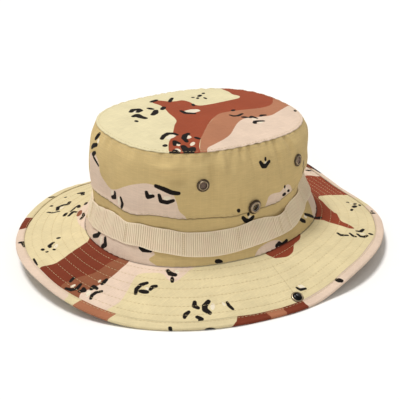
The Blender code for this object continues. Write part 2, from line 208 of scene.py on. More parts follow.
# Seam across the crown's side: degrees and share of the side's height.
LOWER_SEAM = (
    (0, 0.43), (45, 0.42), (90, 0.4), (135, 0.42), (167, 0.432), (180, 0.426), (200, 0.418), (207, 0.443),
    (215, 0.444), (223, 0.425), (235, 0.415), (245, 0.405), (258, 0.392), (270, 0.404), (287, 0.402),
    (302, 0.432), (314, 0.485), (326, 0.5), (342, 0.455),
)
VENT_X = 0.048
VENT_HEIGHT = 0.735                     # share of the side's height
VENT_HOLE = 2.9 * MM                    # radius
SNAP_X = -0.0033
SNAP_HEIGHT = 0.440
STUD_REACH = 0.0472
SIDES = (("left", -1), ("right", 1))

# Thicknesses, half of them measured from the brim's middle surface.
CLOTH = 0.0006
INTERLINING_HALF = 0.00030
PLY_LOW = 0.00036
PLY_HIGH = 0.00085
TAPE_LOW = 0.00095
TAPE_HIGH = 0.00150

FOLD_SPAN = (0.0045, 0.0060)            # cloth bends from this far inside a fold line to this far outside

# Sewing.
SIDE_SEAM_TURN = 1.5                    # degrees that the brim's side seams lie from the hat's sides
SIDE_SEAM_FROM = 0.012                  # reach at which they come out from under the folded edge
QUILT_ROWS = 6
QUILT_FIRST = 0.0046                    # reach of the first row, and the rows' spacing
QUILT_STEP = 0.0083
STITCH = 0.0024
STITCH_GAP = 0.0008
THREAD = 0.00016                        # radius
FINE_STITCH = (0.0020, 0.0010, 0.00013)             # length, gap and radius
TACK_STITCH = (0.0012, 0.0004, 0.00016)
SEAM_STITCH = (0.0016, 0.0012, 0.00015)


def smooth_through(values, place, wraps):
    """Smooth curve through evenly spaced values, at places counted in values from the first."""
    values = np.asarray(values, float)
    index = np.floor(place).astype(int)
    f = place - index
    last = len(values) - 1
    near = (index + k for k in (-1, 0, 1, 2))
    a, b, c, d = (values[k % len(values) if wraps else np.clip(k, 0, last)] for k in near)
    return b + 0.5 * f * (c - a + f * (2 * a - 5 * b + 4 * c - d + f * (3 * (b - c) + d - a)))


def unit(vectors):
    return vectors / np.maximum(np.linalg.norm(vectors, axis=-1, keepdims=True), 1e-12)


def bump(distance, width):
    """Bell curve, 1 at distance 0."""
    return np.exp(-(distance / width) ** 2)


def turn_between(angle, degrees):
    """Signed turn in degrees from a direction to each angle, from -180 to 180."""
    return (np.degrees(angle) - degrees + 180) % 360 - 180


def oval(half, power, angle):
    cos, sin = np.cos(angle), np.sin(angle)
    radius = ((np.abs(cos) / half[0]) ** power + (np.abs(sin) / half[1]) ** power) ** (-1 / power)
    return np.stack([radius * cos, radius * sin], -1)


def base(angle):
    flat = oval(BASE_HALF, BASE_POWER, angle)
    from_side = np.degrees(np.arccos(np.clip(np.cos(angle), -1, 1))) - 90 - FOOT_BULGE_TURN
    flat = flat + unit(flat) * (FOOT_BULGE * bump(from_side, FOOT_BULGE_SPREAD))[..., None] + CENTRE
    return np.concatenate([flat, np.full(flat.shape[:-1] + (1,), BASE_Z)], -1)


def top_panel(angle, share):
    flat = oval(TOP_HALF, TOP_POWER, angle) * share[..., None]
    x = flat[..., 0] + TOP_SHIFT_X
    z = TOP_Z + TOP_TILT * x + TOP_DOME * (1 - share ** 2)
    return np.stack([x + CENTRE[0], flat[..., 1] + CENTRE[1], z], -1)


def outward(angle):
    along = base(angle + 0.01) - base(angle - 0.01)
    return unit(np.stack([along[..., 1], -along[..., 0], 0 * along[..., 0]], -1))


def side(angle, share):
    """Crown side's middle surface, from share 0 at the brim to 1 at the top seam."""
    angle, share = np.broadcast_arrays(angle, share)
    top = top_panel(angle, np.ones(share.shape))
    straight = base(angle) * (1 - share[..., None]) + top * share[..., None]
    place = np.clip(share, 0, 0.9999) * (len(SIDE_SWELL) - 1)
    return straight + outward(angle) * (smooth_through(SIDE_SWELL, place, False) * MM)[..., None]


def side_normal(angle, share):
    around = side(angle + 0.01, share) - side(angle - 0.01, share)
    up = side(angle, share + 0.01) - side(angle, share - 0.01)
    return unit(np.cross(around, up))


def brim(angle, reach):
    """Brim's middle surface, reach metres out from the crown seam; it flattens where it meets the table."""
    angle, reach = np.broadcast_arrays(angle, reach)
    place = (angle % TURN) / TURN * len(BRIM_DROOP)
    slope = np.radians(smooth_through(BRIM_DROOP, place, True))
    points = base(angle) + outward(angle) * (reach * np.cos(slope))[..., None]
    above = BASE_Z - reach * np.sin(slope) - TAPE_HIGH
    soft = np.clip(above + REST_BLEND, 0, None) ** 2 / (4 * REST_BLEND)
    points[..., 2] = np.where(above < REST_BLEND, soft, above) + TAPE_HIGH
    return points


def brim_normal(angle, reach):
    around = brim(angle + 0.004, reach) - brim(angle - 0.004, reach)
    out = brim(angle, reach + 0.0005) - brim(angle, reach - 0.0005)
    return unit(np.cross(out, around))


def ripple(angle, drift, low, high, seed, terms=9):
    """Smooth random wave round the hat, about -1 to 1, of low to high cycles, turning along drift."""
    random = np.random.default_rng(seed)
    total = 0.0
    for _ in range(terms):
        cycles = int(random.integers(low, high + 1))
        total = total + np.sin(cycles * angle + random.uniform(0, TURN) + random.uniform(-1, 1) * drift)
    return total / math.sqrt(terms)


def traced(line, angle):
    """Soft line through (degrees, value) pairs that go round the hat."""
    places, values = np.array(line, float).T
    degrees = np.degrees(angle) % 360
    nearby = (-2.4, -0.8, 0.8, 2.4)
    return sum(np.interp(degrees + aside, places, values, period=360) for aside in nearby) / len(nearby)


def seam_share(angle):
    return traced(LOWER_SEAM, angle)


# Soft folds of the crown's side: degrees, share, half width in degrees, half height, depth in mm.
SIDE_FOLDS = (
    (327, 0.33, 14, 0.15, 9), (334, 0.66, 15, 0.14, 2.6), (222, 0.79, 6, 0.05, 2.6),
    (216, 0.885, 5, 0.035, -2.7), (241, 0.8, 2.6, 0.22, 2.6), (247, 0.86, 2.4, 0.11, -2.2),
    (233, 0.93, 3, 0.04, 1.2), (253, 0.9, 2.2, 0.07, 1.2), (259.5, 0.5, 2, 0.15, 1.2),
    (226, 0.55, 5, 0.22, 0.8), (270, 0.9, 2.4, 0.08, 1.8), (281, 0.66, 4, 0.26, 1.5),
    (291, 0.84, 2, 0.2, 1.9), (298, 0.9, 2, 0.1, -1.1), (303, 0.86, 2, 0.1, 1.8),
    (197, 0.66, 6, 0.16, 1.2), (188, 0.86, 4, 0.1, 1.2), (170, 0.62, 4, 0.2, 1.1),
    (152, 0.75, 5, 0.2, 1.2), (128, 0.6, 5, 0.25, 1.2), (104, 0.8, 4, 0.16, 1.4),
    (83, 0.55, 3, 0.18, 1.1), (61, 0.82, 4, 0.15, 1.5), (38, 0.62, 5, 0.22, 1.2),
    (14, 0.78, 4, 0.16, 1.5), (347, 0.66, 5, 0.2, 1.1), (331, 0.86, 3, 0.1, 1.1),
)


def fitting_places():
    """Angle and share of each fitting on the crown's side."""
    for _, way in SIDES:
        yield angle_at(way, -VENT_X, VENT_HEIGHT), VENT_HEIGHT
        yield angle_at(way, VENT_X, VENT_HEIGHT), VENT_HEIGHT
        yield angle_at(way, SNAP_X, SNAP_HEIGHT), SNAP_HEIGHT


def angle_at(way, x, share):
    """Angle at which the crown's side, at that height, is x from the hat's middle."""
    low, high = (-math.pi, 0.0) if way < 0 else (math.pi, 0.0)
    for _ in range(40):
        middle = (low + high) / 2
        if side(np.array(middle), np.array(share))[0] - CENTRE[0] < x:
            low = middle
        else:
            high = middle
    return middle


def side_relief(angle, share):
    """Metres that puckers at seams, soft folds and slack lift the crown's side off its plain form."""
    seam = seam_share(angle)
    relief = 0.75 * MM * ripple(angle, 7 * share, 5, 13, 11) * np.sin(math.pi * np.clip(share, 0, 1)) ** 0.7
    relief = relief + 0.30 * MM * ripple(angle, 9 * share, 20, 38, 12) * bump(share - 0.75, 0.3)
    relief = relief + 0.56 * MM * ripple(angle, 3 * share, 36, 66, 13) * bump(share - 0.985, 0.07)
    relief = relief + 0.22 * MM * ripple(angle, 3 * share, 60, 110, 14) * bump(share - seam, 0.04)
    relief = relief + 0.20 * MM * ripple(angle, 3 * share, 60, 110, 15) * bump(share, 0.06)
    for degrees, height, wide, tall, deep in SIDE_FOLDS:
        relief = relief - deep * MM * bump(turn_between(angle, degrees), wide) * bump(share - height, tall)
    for place, height in fitting_places():
        near = bump(turn_between(angle, math.degrees(place)), 6.5) * bump(share - height, 0.085)
        relief = relief * (1 - near)
    return relief


def quilt_reach(row, angle):
    """Reach of one of the brim's rows of stitching, which wander a little."""
    wander = 0.5 * MM * ripple(angle, row, 1, 5, 21) + 1.3 * MM * bump(turn_between(angle, 277), 20)
    return QUILT_FIRST + QUILT_STEP * row + wander * (1 - row / QUILT_ROWS)


def brim_slack(angle, reach):
    """Metres that all the brim's plies rise and fall together."""
    out = np.clip(reach / BRIM_WIDTH, 0, 1)
    slack = 0.5 * MM * ripple(angle, 30 * reach, 4, 11, 22) * out * (1 - 0.7 * out ** 6)
    return slack + 0.10 * MM * ripple(angle, 160 * reach, 45, 80, 23) * np.sin(math.pi * out)


def quilt_dip(angle, reach):
    """Depth to which the stitching draws in the cloth, with small puckers beside each row."""
    pucker = ripple(angle, 500 * reach, 110, 170, 24)
    dip = 0.04 * MM * pucker
    for row in range(QUILT_ROWS):
        apart = reach - quilt_reach(row, angle)
        dip = dip + MM * bump(apart, 1.3 * MM) * (0.12 + 0.04 * pucker)
    return dip


# ---- meshes ------------------------------------------------------------------

def make_object(name, points, faces, material, sharp=45):
    mesh = bpy.data.meshes.new(name)
    mesh.from_pydata(np.asarray(points).reshape(-1, 3).tolist(), [], faces)
    mesh.materials.append(material)
    mesh.shade_smooth()
    mesh.set_sharp_from_angle(angle=math.radians(sharp))
    thing = bpy.data.objects.new(name, mesh)
    bpy.context.collection.objects.link(thing)
    return thing


def strip(one, other, wrap):
    """Quads between two rows of point numbers."""
    one, other = np.asarray(one), np.asarray(other)
    if wrap:
        one, other = np.append(one, one[0]), np.append(other, other[0])
    return np.stack([one[:-1], one[1:], other[1:], other[:-1]], -1)


def shell(name, outer, inner, material, wrap=False, hub=False):
    """Closed shell between two grids of points (rows, columns, 3) with the same columns.

    A hub closes both grids in their middle. Each point keeps whether it is on the inner face.
    """
    columns = outer.shape[1]
    points = np.concatenate([outer.reshape(-1, 3), inner.reshape(-1, 3)])
    number = np.arange(len(outer) * columns).reshape(-1, columns)
    other = np.arange(len(inner) * columns).reshape(-1, columns) + number.size
    quads = [strip(one, two, wrap) for one, two in zip(number, number[1:])]
    quads += [strip(one, two, wrap)[:, ::-1] for one, two in zip(other, other[1:])]
    quads.append(strip(other[-1], number[-1], wrap)[:, ::-1])
    if not hub:
        quads.append(strip(other[0], number[0], wrap))
    faces = np.concatenate(quads).tolist()
    if not wrap:
        faces.append(number[:, 0].tolist() + other[::-1, 0].tolist())
        faces.append(number[::-1, -1].tolist() + other[:, -1].tolist())
    if hub:
        points = np.concatenate([points, [outer[0].mean(0), inner[0].mean(0)]])
        for one, two in zip(range(columns), list(range(1, columns)) + [0]):
            faces.append((len(points) - 2, two, one))
            faces.append((len(points) - 1, int(other[0, one]), int(other[0, two])))
    thing = make_object(name, points, faces, material)
    if signed_volume(points, faces) < 0:
        thing.data.flip_normals()
    reverse = np.arange(len(points)) >= number.size
    if hub:
        reverse[-2] = False
    store(thing, "reverse", reverse)
    return thing


def some_rows(grid, step=4):
    """Every few rows of a grid with its last row, for a face that nothing shows."""
    return grid[np.unique(np.append(np.arange(0, len(grid), step), len(grid) - 1))]


def both_faces(*grids):
    """Values at a shell's points, outer face then inner, from grids of its outer face."""
    return [np.concatenate([grid.ravel(), some_rows(grid).ravel()]) for grid in grids]


def signed_volume(points, faces):
    quads = np.array([(*face, face[-1])[:4] for face in faces if len(face) < 5])
    a, b, c, d = (points[quads[:, k]] for k in range(4))
    return float((np.cross(a, b) * c).sum() + (np.cross(a, c) * d).sum())


def store(thing, name, values):
    """Keep one number for each point of a piece."""
    field = thing.data.attributes.new(name, "FLOAT", "POINT")
    field.data.foreach_set("value", np.asarray(values, np.float32).ravel())


def store_vector(thing, name, vectors):
    field = thing.data.attributes.new(name, "FLOAT_VECTOR", "POINT")
    field.data.foreach_set("vector", np.asarray(vectors, np.float32).ravel())


def replace(thing, slot, *nodes):
    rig.replaces(thing, *nodes)
    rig.slot(thing, slot)
    return thing


def fold_with(thing, way):
    """Half of the brim bends from the crown to its flap across the fold line."""
    word = "left" if way < 0 else "right"
    fold = next(joint for joint in frame["joints"] if joint["name"] == f"{word}_brim_fold")
    x, y, z = fold["pos_m"]
    inside, outside = FOLD_SPAN
    start, end = (x, y - way * inside, z), (x, y + way * outside, z)
    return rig.blend(thing, "crown", f"{word}_flap", start=start, end=end)


# ---- the printed pattern -----------------------------------------------------
# Patches are outlines; chips and highlights are strokes that end with their radius in mm. Each is drawn in
# its piece's chart: top in mm from its middle, side in degrees and share of the height, brim and binding in
# degrees and mm of reach.

PRINT_COLOURS = ("pink", "light", "dark", "black", "white")
FAR = 9.0                               # mm, beyond which distances don't matter
INK_SPREAD = 0.42                       # mm that the black ink spreads in the cloth, and the white
WHITE_SPREAD = 0.16
SIDE_HEIGHT_MM = 89.0                   # of the chart of the crown's side
UNDER_TURN = 137                        # degrees that the print is turned on the under cloth

TOP_PATCHES = {
    "dark": (
        ((-66, -50), (-61, -41), (-55, -33), (-48, -27), (-42, -20), (-37, -14), (-32, -8), (-26, -2),
         (-23, 6), (-21, 16), (-18, 26), (-16, 36), (-17, 46), (-12, 51), (-7, 48), (-3, 43), (2, 39.5),
         (8, 38), (10.5, 32), (10.5, 24), (13, 19.5), (22, 18.3), (34, 18.6), (47, 19.8), (56, 21.5),
         (60, 26), (58, 33), (60, 41), (60, 51), (62, 59), (68, 66), (80, 60), (92, 40), (92, 14),
         (83, 8), (77, 1), (68, -5), (56, -7), (42, -5.5), (28, -4), (16, -4.5), (6, -10), (-6, -19),
         (-18, -30), (-30, -41), (-38, -50), (-44, -60), (-50, -70), (-66, -62)),
    ),
    "light": (
        ((-44, -60), (-30, -41), (-18, -30), (-6, -19), (6, -10), (20, 2), (50, 2), (77, 8), (94, 12),
         (94, -8), (84, -11), (74, -16), (64, -21), (54, -25), (42, -24), (34, -22), (26, -23), (17, -28),
         (8, -35), (-3, -44), (-14, -50), (-26, -54), (-36, -58), (-44, -70)),
    ),
    "pink": (
        ((-44, -66), (-30, -52), (-14, -44), (8, -30), (26, -18), (54, -18), (74, -10), (94, -4),
         (94, -40), (60, -72), (0, -76)),
    ),
}
TOP_CHIPS = (
    ((-45, 36.5), (-41, 39.5), (-37, 37.5), (-37, 34.5), (-40.5, 33), 1.9),
    ((-49, 26), (-45, 27), (-45.5, 22), (-44, 17), 2.3), ((-28.5, 35), (-27, 31.5), 1.5),
    ((-26.5, 27), (-30, 23), (-34, 20.5), 2), ((-20.5, 26.5), (-16, 30.5), 1.6),
    ((-53.5, 16), (-54, 14), 1.2), ((-16.5, 48.5), (-9.5, 51.5), 1.6),
    ((-3, 41), (0.5, 44.5), (4.5, 48), 1.2), ((-9, 15.5), (-8.8, 9.5), (-3, 5.2), 1.5),
    ((8, 21.5), (9.8, 25), 1), ((20, 40), (21.5, 40.3), 0.9), ((27.5, 41), (31.5, 43.8), 1.2),
    ((22.5, 36), (24.5, 38), 0.8), ((29.3, 33), (30, 36), 0.9), ((36, 46.5), (38, 48), 0.9),
    ((30, -3.4), (32.5, -2.4), 1.2), ((22, -11), (23, -14), (27, -15), (33.5, -12.6), 0.95),
    ((29, -19.3), (31.5, -20.5), 1.5), ((34, -22.5), (37, -21), (38.5, -25.5), 1.1),
    ((44.5, -23), (47, -22), (50, -22.6), 1.1),
    ((30, -33.5), (32.5, -31), (35.5, -31.3), (40, -32.6), 1.2), ((81, -24.5), (83, -22), 0.8),
    ((-57, -26), (-52.5, -22.5), (-47, -20.3), (-43, -22.5), (-42.3, -25.5), 1.5),
    ((-62, -37), (-60, -35.5), 1.5), ((-64.5, -50.5), (-61, -52.5), (-60, -48.5), 2),
    ((-53.5, -38.5), (-50.5, -34.3), (-48.8, -38), 1.2),
    ((-42, -38.5), (-41, -33.5), (-37, -29.5), (-33, -28.2), 1.6), ((-32, -37), (-31, -40), 1.2),
    ((-48.5, -43.5), (-51, -50), (-55, -57), 2.4), ((-44.5, -50), (-50, -56.5), 2.4),
    ((-90, 10.5), (-91, 13), 1), ((29.6, -34.2), (30.6, -33.4), 1.5),
)
TOP_WHITES = (
    ((-5.2, 11.5), (3, 10.4), 3.4), ((-52, -27.5), (-45, -25.5), 1.9),
    ((-37.2, -33.3), (-36.6, -32.8), 3), ((-59, -51), (-57.2, -47.5), 2),
    ((-50.8, -39.6), (-50.4, -39), 1.6), ((-41.6, -44.6), (-38.4, -43), 1.3),
    ((-43, 33), (-41.5, 35), 1.5), ((-47.5, 23), (-47, 20), 1.1), ((34, -35), (37, -34.2), 1.1),
    ((34, -27), (36, -26.5), 1.2),
)

SIDE_PATCHES = {
    "pink": (
        ((158, 0.38), (160, 0.52), (163.5, 0.62), (163.5, 0.74), (168, 0.8), (173, 0.75), (175, 0.64),
         (181, 0.56), (187, 0.58), (194, 0.65), (201, 0.71), (207, 0.735), (213.5, 0.715), (219, 0.67),
         (221, 0.59), (222.5, 0.5), (226, 0.43), (223, 0.38)),
        ((277.8, 0.38), (278.3, 0.45), (280, 0.492), (284.5, 0.507), (290, 0.5), (295.5, 0.532),
         (299, 0.515), (301.5, 0.45), (301, 0.38)),
        ((12, 0.5), (16, 0.72), (25, 0.86), (38, 0.82), (44, 0.66), (40, 0.5), (28, 0.42)),
        ((92, 0.38), (94, 0.62), (104, 0.78), (118, 0.74), (124, 0.6), (118, 0.44), (104, 0.38)),
    ),
    "light": (
        ((334, 0.42), (338, 0.6), (346, 0.74), (356, 0.78), (364, 0.7), (363, 0.54), (354, 0.44),
         (344, 0.4)),
    ),
    "dark": (
        ((340, 0.5), (343, 0.66), (351, 0.74), (358, 0.7), (358, 0.58), (350, 0.5)),
        ((60, 0.76), (63, 0.9), (72, 1.02), (88, 1.02), (92, 0.88), (84, 0.8), (74, 0.84), (68, 0.74)),
    ),
}
LOWER_PATCHES = {
    "pink": (
        ((150, -0.05), (158, 0.1), (166, 0.16), (186, 0.17), (204, 0.16), (211, 0.11), (208.5, 0.05),
         (212, -0.05)),
        ((263, -0.05), (265, 0.045), (270, 0.08), (277, 0.085), (283, 0.045), (284, -0.05)),
        ((18, -0.05), (24, 0.14), (44, 0.2), (58, 0.1), (56, -0.05)),
        ((318, 0.02), (324, 0.16), (338, 0.18), (342, 0.05), (334, -0.05)),
    ),
    "dark": (
        ((95, -0.05), (98, 0.12), (108, 0.22), (122, 0.2), (128, 0.06), (120, -0.05)),
    ),
}
SIDE_CHIPS = (
    ((169.3, 0.97), (168, 0.925), 1.3), ((170.3, 0.885), (167.4, 0.86), (165.7, 0.83), 1.2),
    ((169.6, 0.81), (167.3, 0.78), 1.2), ((168.2, 0.76), (170, 0.74), (173, 0.715), 0.85),
    ((158, 0.83), (157.5, 0.79), 1.1), ((186.6, 0.55), (186.3, 0.505), (183.2, 0.478), 1.25),
    ((191.2, 0.53), (192.3, 0.485), (191.4, 0.442), 1.05),
    ((206.3, 0.655), (207, 0.612), (209.6, 0.628), 1.15),
    ((212.7, 0.645), (213.5, 0.592), (216.5, 0.586), (219.4, 0.605), 1.2),
    ((211, 0.725), (215, 0.708), (219, 0.68), (222, 0.672), 1.35),
    ((274.6, 0.845), (276, 0.806), (278.6, 0.8), (282.3, 0.828), 1.35),
    ((279.3, 0.868), (279, 0.855), 0.95), ((294.2, 0.528), (294.3, 0.518), 0.95),
    ((292.6, 0.447), (294.8, 0.443), 0.95), ((297.6, 0.46), (298.6, 0.455), 0.8),
    ((256.2, 0.447), (257.2, 0.432), 1.1), ((318, 0.64), (317, 0.6), 1.3),
    ((320, 0.56), (318.5, 0.52), 1),
)
LOWER_CHIPS = (
    ((259.8, 0.355), (261.6, 0.322), (264, 0.305), (267.4, 0.336), 1.35),
    ((263.8, 0.381), (263.8, 0.372), 1), ((177.2, 0.125), (176, 0.085), (172.5, 0.05), 1.3),
    ((182, 0.1), (183.2, 0.055), (181.2, 0.02), 1.45),
    ((203.5, 0.138), (205.2, 0.122), (209, 0.126), 0.9), ((241.4, 0.032), (243.6, 0.02), 1.4),
    ((238, -0.002), (239.2, -0.004), 0.8),
    ((278.8, 0.025), (281, 0.035), (283, 0.006), (287.3, 0.024), 1.3),
    ((303.6, 0.13), (305, 0.105), (307, 0.08), 1.2), ((310, 0.13), (314, 0.085), (318, 0.03), 0.9),
)
SIDE_WHITES = (
    ((184.2, 0.545), (183.6, 0.515), 1.1), ((189.6, 0.52), (189.2, 0.46), 1),
    ((215.5, 0.625), (217.5, 0.63), 1.2), ((278.2, 0.828), (279.4, 0.83), 0.9),
    ((296, 0.495), (296.6, 0.475), 0.9), ((170.4, 0.93), (170.8, 0.91), 0.9),
    ((208.2, 0.645), (208.6, 0.637), 0.6),
)
LOWER_WHITES = (
    ((179.2, 0.085), (179.6, 0.045), 1.2), ((264.4, 0.345), (265.6, 0.345), 1),
    ((308.5, 0.12), (310, 0.1), 0.9),
)

BRIM_PATCHES = {
    "light": (
        ((185, -3), (184, 20), (182, 36), (181, 56), (193, 56), (193, 46), (195, 35), (196.6, 24),
         (197.8, 12), (198, -3)),
        ((140, 11), (139.6, 8.6), (143, 6.6), (145.6, 8), (144.8, 10.6)),
    ),
    "dark": (
        ((320, 8), (320, 25), (320.2, 32), (321.4, 34.4), (323, 29), (324.2, 22), (330, 17), (326, 8)),
        ((169, -3), (171.6, 4), (173.2, 12), (174.6, 22), (176, 31), (176.6, 40), (175.8, 52), (186, 56),
         (186.6, 46), (188.2, 34), (190.6, 24), (191.4, 10), (191.8, -3)),
        ((271.6, -3), (272, 6.6), (274.6, 9), (279, 11.6), (283.5, 11), (286.5, 8.4), (289.5, 5),
         (295, 4), (299, 0.6), (299, -3)),
        ((319.6, -3), (320, 8), (320.6, 17), (324, 17.5), (330, 15.8), (334, 11), (339, 8.4),
         (342.4, 6.6), (345.2, 9), (347.4, 16), (349.6, 26), (351.6, 38), (353, 50), (354.4, 64),
         (366.4, 64), (367.6, 48), (368.6, 34), (366, 18), (356, 4), (346, -3)),
        ((62, 18), (66, 34), (76, 44), (88, 46), (96, 38), (92, 24), (80, 16), (70, 10)),
        ((28, 40), (24, 56), (34, 64), (44, 64), (47, 50), (40, 42)),
    ),
    "pink": (
        ((360, 64), (372.4, 64), (373.4, 50), (373.8, 34), (372, 14), (362, 0), (354, 2), (360, 30)),
        ((196, -3), (196.4, 20), (194, 36), (192, 48), (192, 64), (200, 64), (202.4, 50), (204.4, 40),
         (205, 26), (205.6, 12), (210, 7.6), (215.6, 7), (218.6, 13), (221.4, 14), (224.4, 9), (227, 4),
         (229.6, -3)),
        ((104, -3), (106, 8), (116, 12), (130, 11), (139, 12.5), (147, 9), (157, 3.4), (160, -3)),
        ((48, 64), (50, 44), (60, 46), (66, 56), (70, 64)),
        ((0, -3), (4, 22), (12, 40), (14, 64), (26, 64), (24, 46), (30, 34), (32, 14), (28, -3)),
        ((88, 64), (94, 52), (104, 50), (110, 58), (112, 64)),
    ),
}
BRIM_CHIPS = (
    ((143, 5), (146, 3.6), (149, 5), 0.9), ((130.6, 12.2), (133, 11), 1), ((134, 16.6), (136, 14.6), 1.3),
    ((135, 17.8), (140, 19), 0.6), ((141, 13), (140.5, 16), (144, 18), 1.1),
    ((141.5, 21.8), (143.5, 22.6), 1.2), ((120, 36), (119, 33), (121.5, 28.5), 1.5),
    ((130, 30.4), (132.6, 29.4), (133, 33), (135, 36), (137.6, 34), 1.4),
    ((139, 31), (140, 36), (139, 42), 0.8), ((125, 42), (125.2, 43), 0.8),
    ((134, 43.6), (133.4, 45.4), 1), ((161.9, 23.4), (161.7, 24.6), 1.1),
    ((164, 29.4), (165.4, 33.2), (166.6, 33.4), 1.25), ((168.5, 31.8), (169, 31.2), 0.8),
    ((166.4, 40), (166.9, 39.6), 1.2), ((168.5, 37.8), (168.7, 37.4), 0.9),
    ((186.9, 38), (187.4, 43), 0.9), ((190.6, 40), (190.9, 45), (190, 49), (188.5, 50.4), 1.1),
    ((192.4, 42), (193.1, 43.4), (192.2, 46), 1.3), ((196.2, 25), (196, 30.4), 1.2),
    ((194.4, 39), (194.4, 36.2), (195.6, 36.4), 1.4),
    ((197.6, 37), (196.4, 40), (196, 44), (196.4, 47.4), 1),
    ((217.8, 3.8), (219, 6.6), (221.2, 7.6), 1.5), ((220, 10.8), (220.1, 14.2), 1.1),
    ((210.5, 17.6), (208.5, 20.4), (207.6, 25), (207.9, 29.4), 1.25),
    ((214.2, 19.6), (212.9, 20.8), (212.4, 23.4), 1.25), ((209.2, 26.4), (211.6, 26.2), 1.4),
    ((228.3, 34.4), (228, 38), (229.2, 40), 1.4),
    ((233.2, 34.8), (231.6, 38.4), (231.4, 42.2), (232.8, 45.6), 1.7),
    ((226, 43.4), (224.9, 45.8), (224.6, 48.2), 1.3), ((228.5, 48.4), (229.8, 50.6), (229.1, 53.2), 1.3),
    ((240, 37.8), (240.3, 41), (241.3, 44.6), 1), ((270.8, 40), (271.4, 43), (273.4, 44.2), 0.8),
    ((313, 24), (312.4, 27), (314.2, 32), 1), ((316.2, 33), (315.2, 36), (315.4, 38.6), 0.9),
    ((317.6, 39), (316.6, 42), (317.2, 45), (319, 47), 1),
    ((319.8, 37.4), (320.4, 40.6), (322.6, 42.4), 1), ((320.8, 48.6), (320.9, 50.2), 1.3),
    ((336, 33.4), (337.6, 35.6), 0.7), ((340.2, 38.6), (342, 43), 1.3), ((344, 36.6), (345, 39), 0.8),
    ((343.2, 42.6), (345, 47), 0.8), ((343, 48), (344.2, 50), 0.8), ((170, 50.4), (173.6, 51.4), 0.5),
    ((371.8, 45.6), (371.2, 50.5), 0.9), ((370.6, 52.8), (370.2, 55), 0.8),
    ((369, 53.6), (368.2, 55.4), (367.4, 58), 1.2), ((364.6, 51.6), (364.2, 54), 0.8),
    ((319.4, -2), (320, 2.6), (321.8, 4.8), 1.2),
)
BRIM_WHITES = (
    ((166.4, 27.8), (167.6, 29.6), 1.3), ((194.6, 42.4), (194.9, 46), 1.5),
    ((189.4, 43.6), (189.2, 46.4), 0.9), ((234.5, 38.2), (234.1, 41.8), 1.4),
    ((238.4, 37.8), (238.7, 40), 0.8), ((272.4, 39.8), (273, 42.2), 1.6),
    ((221.6, 3.8), (222.4, 4.8), 1.2), ((211, 22.4), (211.4, 23.4), 1), ((318.8, 41.6), (319.4, 44), 1.1),
    ((135.4, 31), (136.4, 32), 1), ((343.4, 39.6), (343.8, 40.8), 0.8), ((194.6, 28), (194.5, 29.8), 0.7),
)

TAPE_PATCHES = {
    "light": (
        ((196, 50), (194, 60), (193, 72), (203, 72), (203.8, 60), (204.6, 50)),
        ((252.6, 50), (251.8, 60), (252, 72), (264, 72), (262.6, 60), (262.8, 50)),
        ((60, 50), (58, 72), (72, 72), (74, 50)),
    ),
    "dark": (
        ((143.4, 50), (143, 66), (148.8, 72), (149.4, 50)),
        ((243.4, 50), (240.6, 58), (237.4, 66), (236, 72), (254, 72), (253.6, 50)),
        ((262.6, 50), (262.2, 60), (262, 72), (270.5, 72), (269.4, 60), (268.4, 50)),
        ((82, 50), (84, 72), (93, 72), (91, 50)),
        ((14, 50), (11, 72), (28, 72), (32, 50)),
    ),
    "pink": (
        ((147, 48), (146, 74), (185, 74), (187.4, 48)),
        ((266, 48), (267, 74), (334, 74), (337, 48)),
        ((352, 48), (353, 74), (372, 74), (371, 48)),
        ((34, 48), (31, 74), (52, 74), (56, 48)),
        ((78, 48), (80, 74), (98, 74), (97, 48)),
    ),
}
TAPE_CHIPS = (
    ((158.6, 56.4), (159, 53.6), (161.8, 52.6), 1.4), ((287.2, 54.2), (288.2, 57.6), 1.5),
    ((337, 53), (337.5, 56), 1.2), ((220.4, 59), (220.7, 62.6), 1.1), ((231, 62.4), (233, 62.8), 1.5),
    ((371.4, 57), (373, 58.4), (375, 59.6), 0.9), ((369.4, 58.6), (371.2, 57.6), 1.3),
    ((338.6, 54.4), (339.2, 56), 0.7), ((126, 54), (127, 57), 1.1), ((20, 55), (22, 58), 1.3),
    ((67, 54), (68, 58), 1.3),
)


def path_length(path):
    """Distance along a path up to each of its points."""
    return np.concatenate([[0], np.cumsum(np.linalg.norm(np.diff(path, axis=0), axis=1))])


def side_chart(degrees, share):
    """Flat map of the crown's side in mm; it is cut open at the back and runs on a few degrees past it."""
    table = np.linspace(0, TURN, 721)
    length = path_length(side(table, np.full(table.shape, 0.5))) / MM
    table = np.append(table, table[1:9] + TURN)
    length = np.append(length, length[1:9] + length[-1])
    along = np.interp(np.radians(np.asarray(degrees, float)), table, length)
    return np.stack([along, np.asarray(share, float) * SIDE_HEIGHT_MM], -1)


def brim_chart(degrees, reach_mm):
    """The brim opened flat, seen from above, in mm."""
    angle = np.radians(np.asarray(degrees, float))
    flat = base(angle)[..., :2] + outward(angle)[..., :2] * (np.asarray(reach_mm, float) * MM)[..., None]
    return flat / MM


def top_chart(x, y):
    return np.stack([np.asarray(x, float), np.asarray(y, float)], -1)


def rounded_outline(corners, steps=6):
    """Closed smooth curve through an outline's points."""
    place = np.arange(len(corners) * steps) / steps
    corners = np.asarray(corners, float)
    return np.stack([smooth_through(corners[:, k], place, True) for k in (0, 1)], -1)


def segment_distance(points, a, b):
    """Distance to the segment ab, and how far along it the nearest place is."""
    along = b - a
    t = np.clip(((points - a) @ along) / max(float(along @ along), 1e-9), 0, 1)
    return np.linalg.norm(points - a - t[:, None] * along, axis=1), t


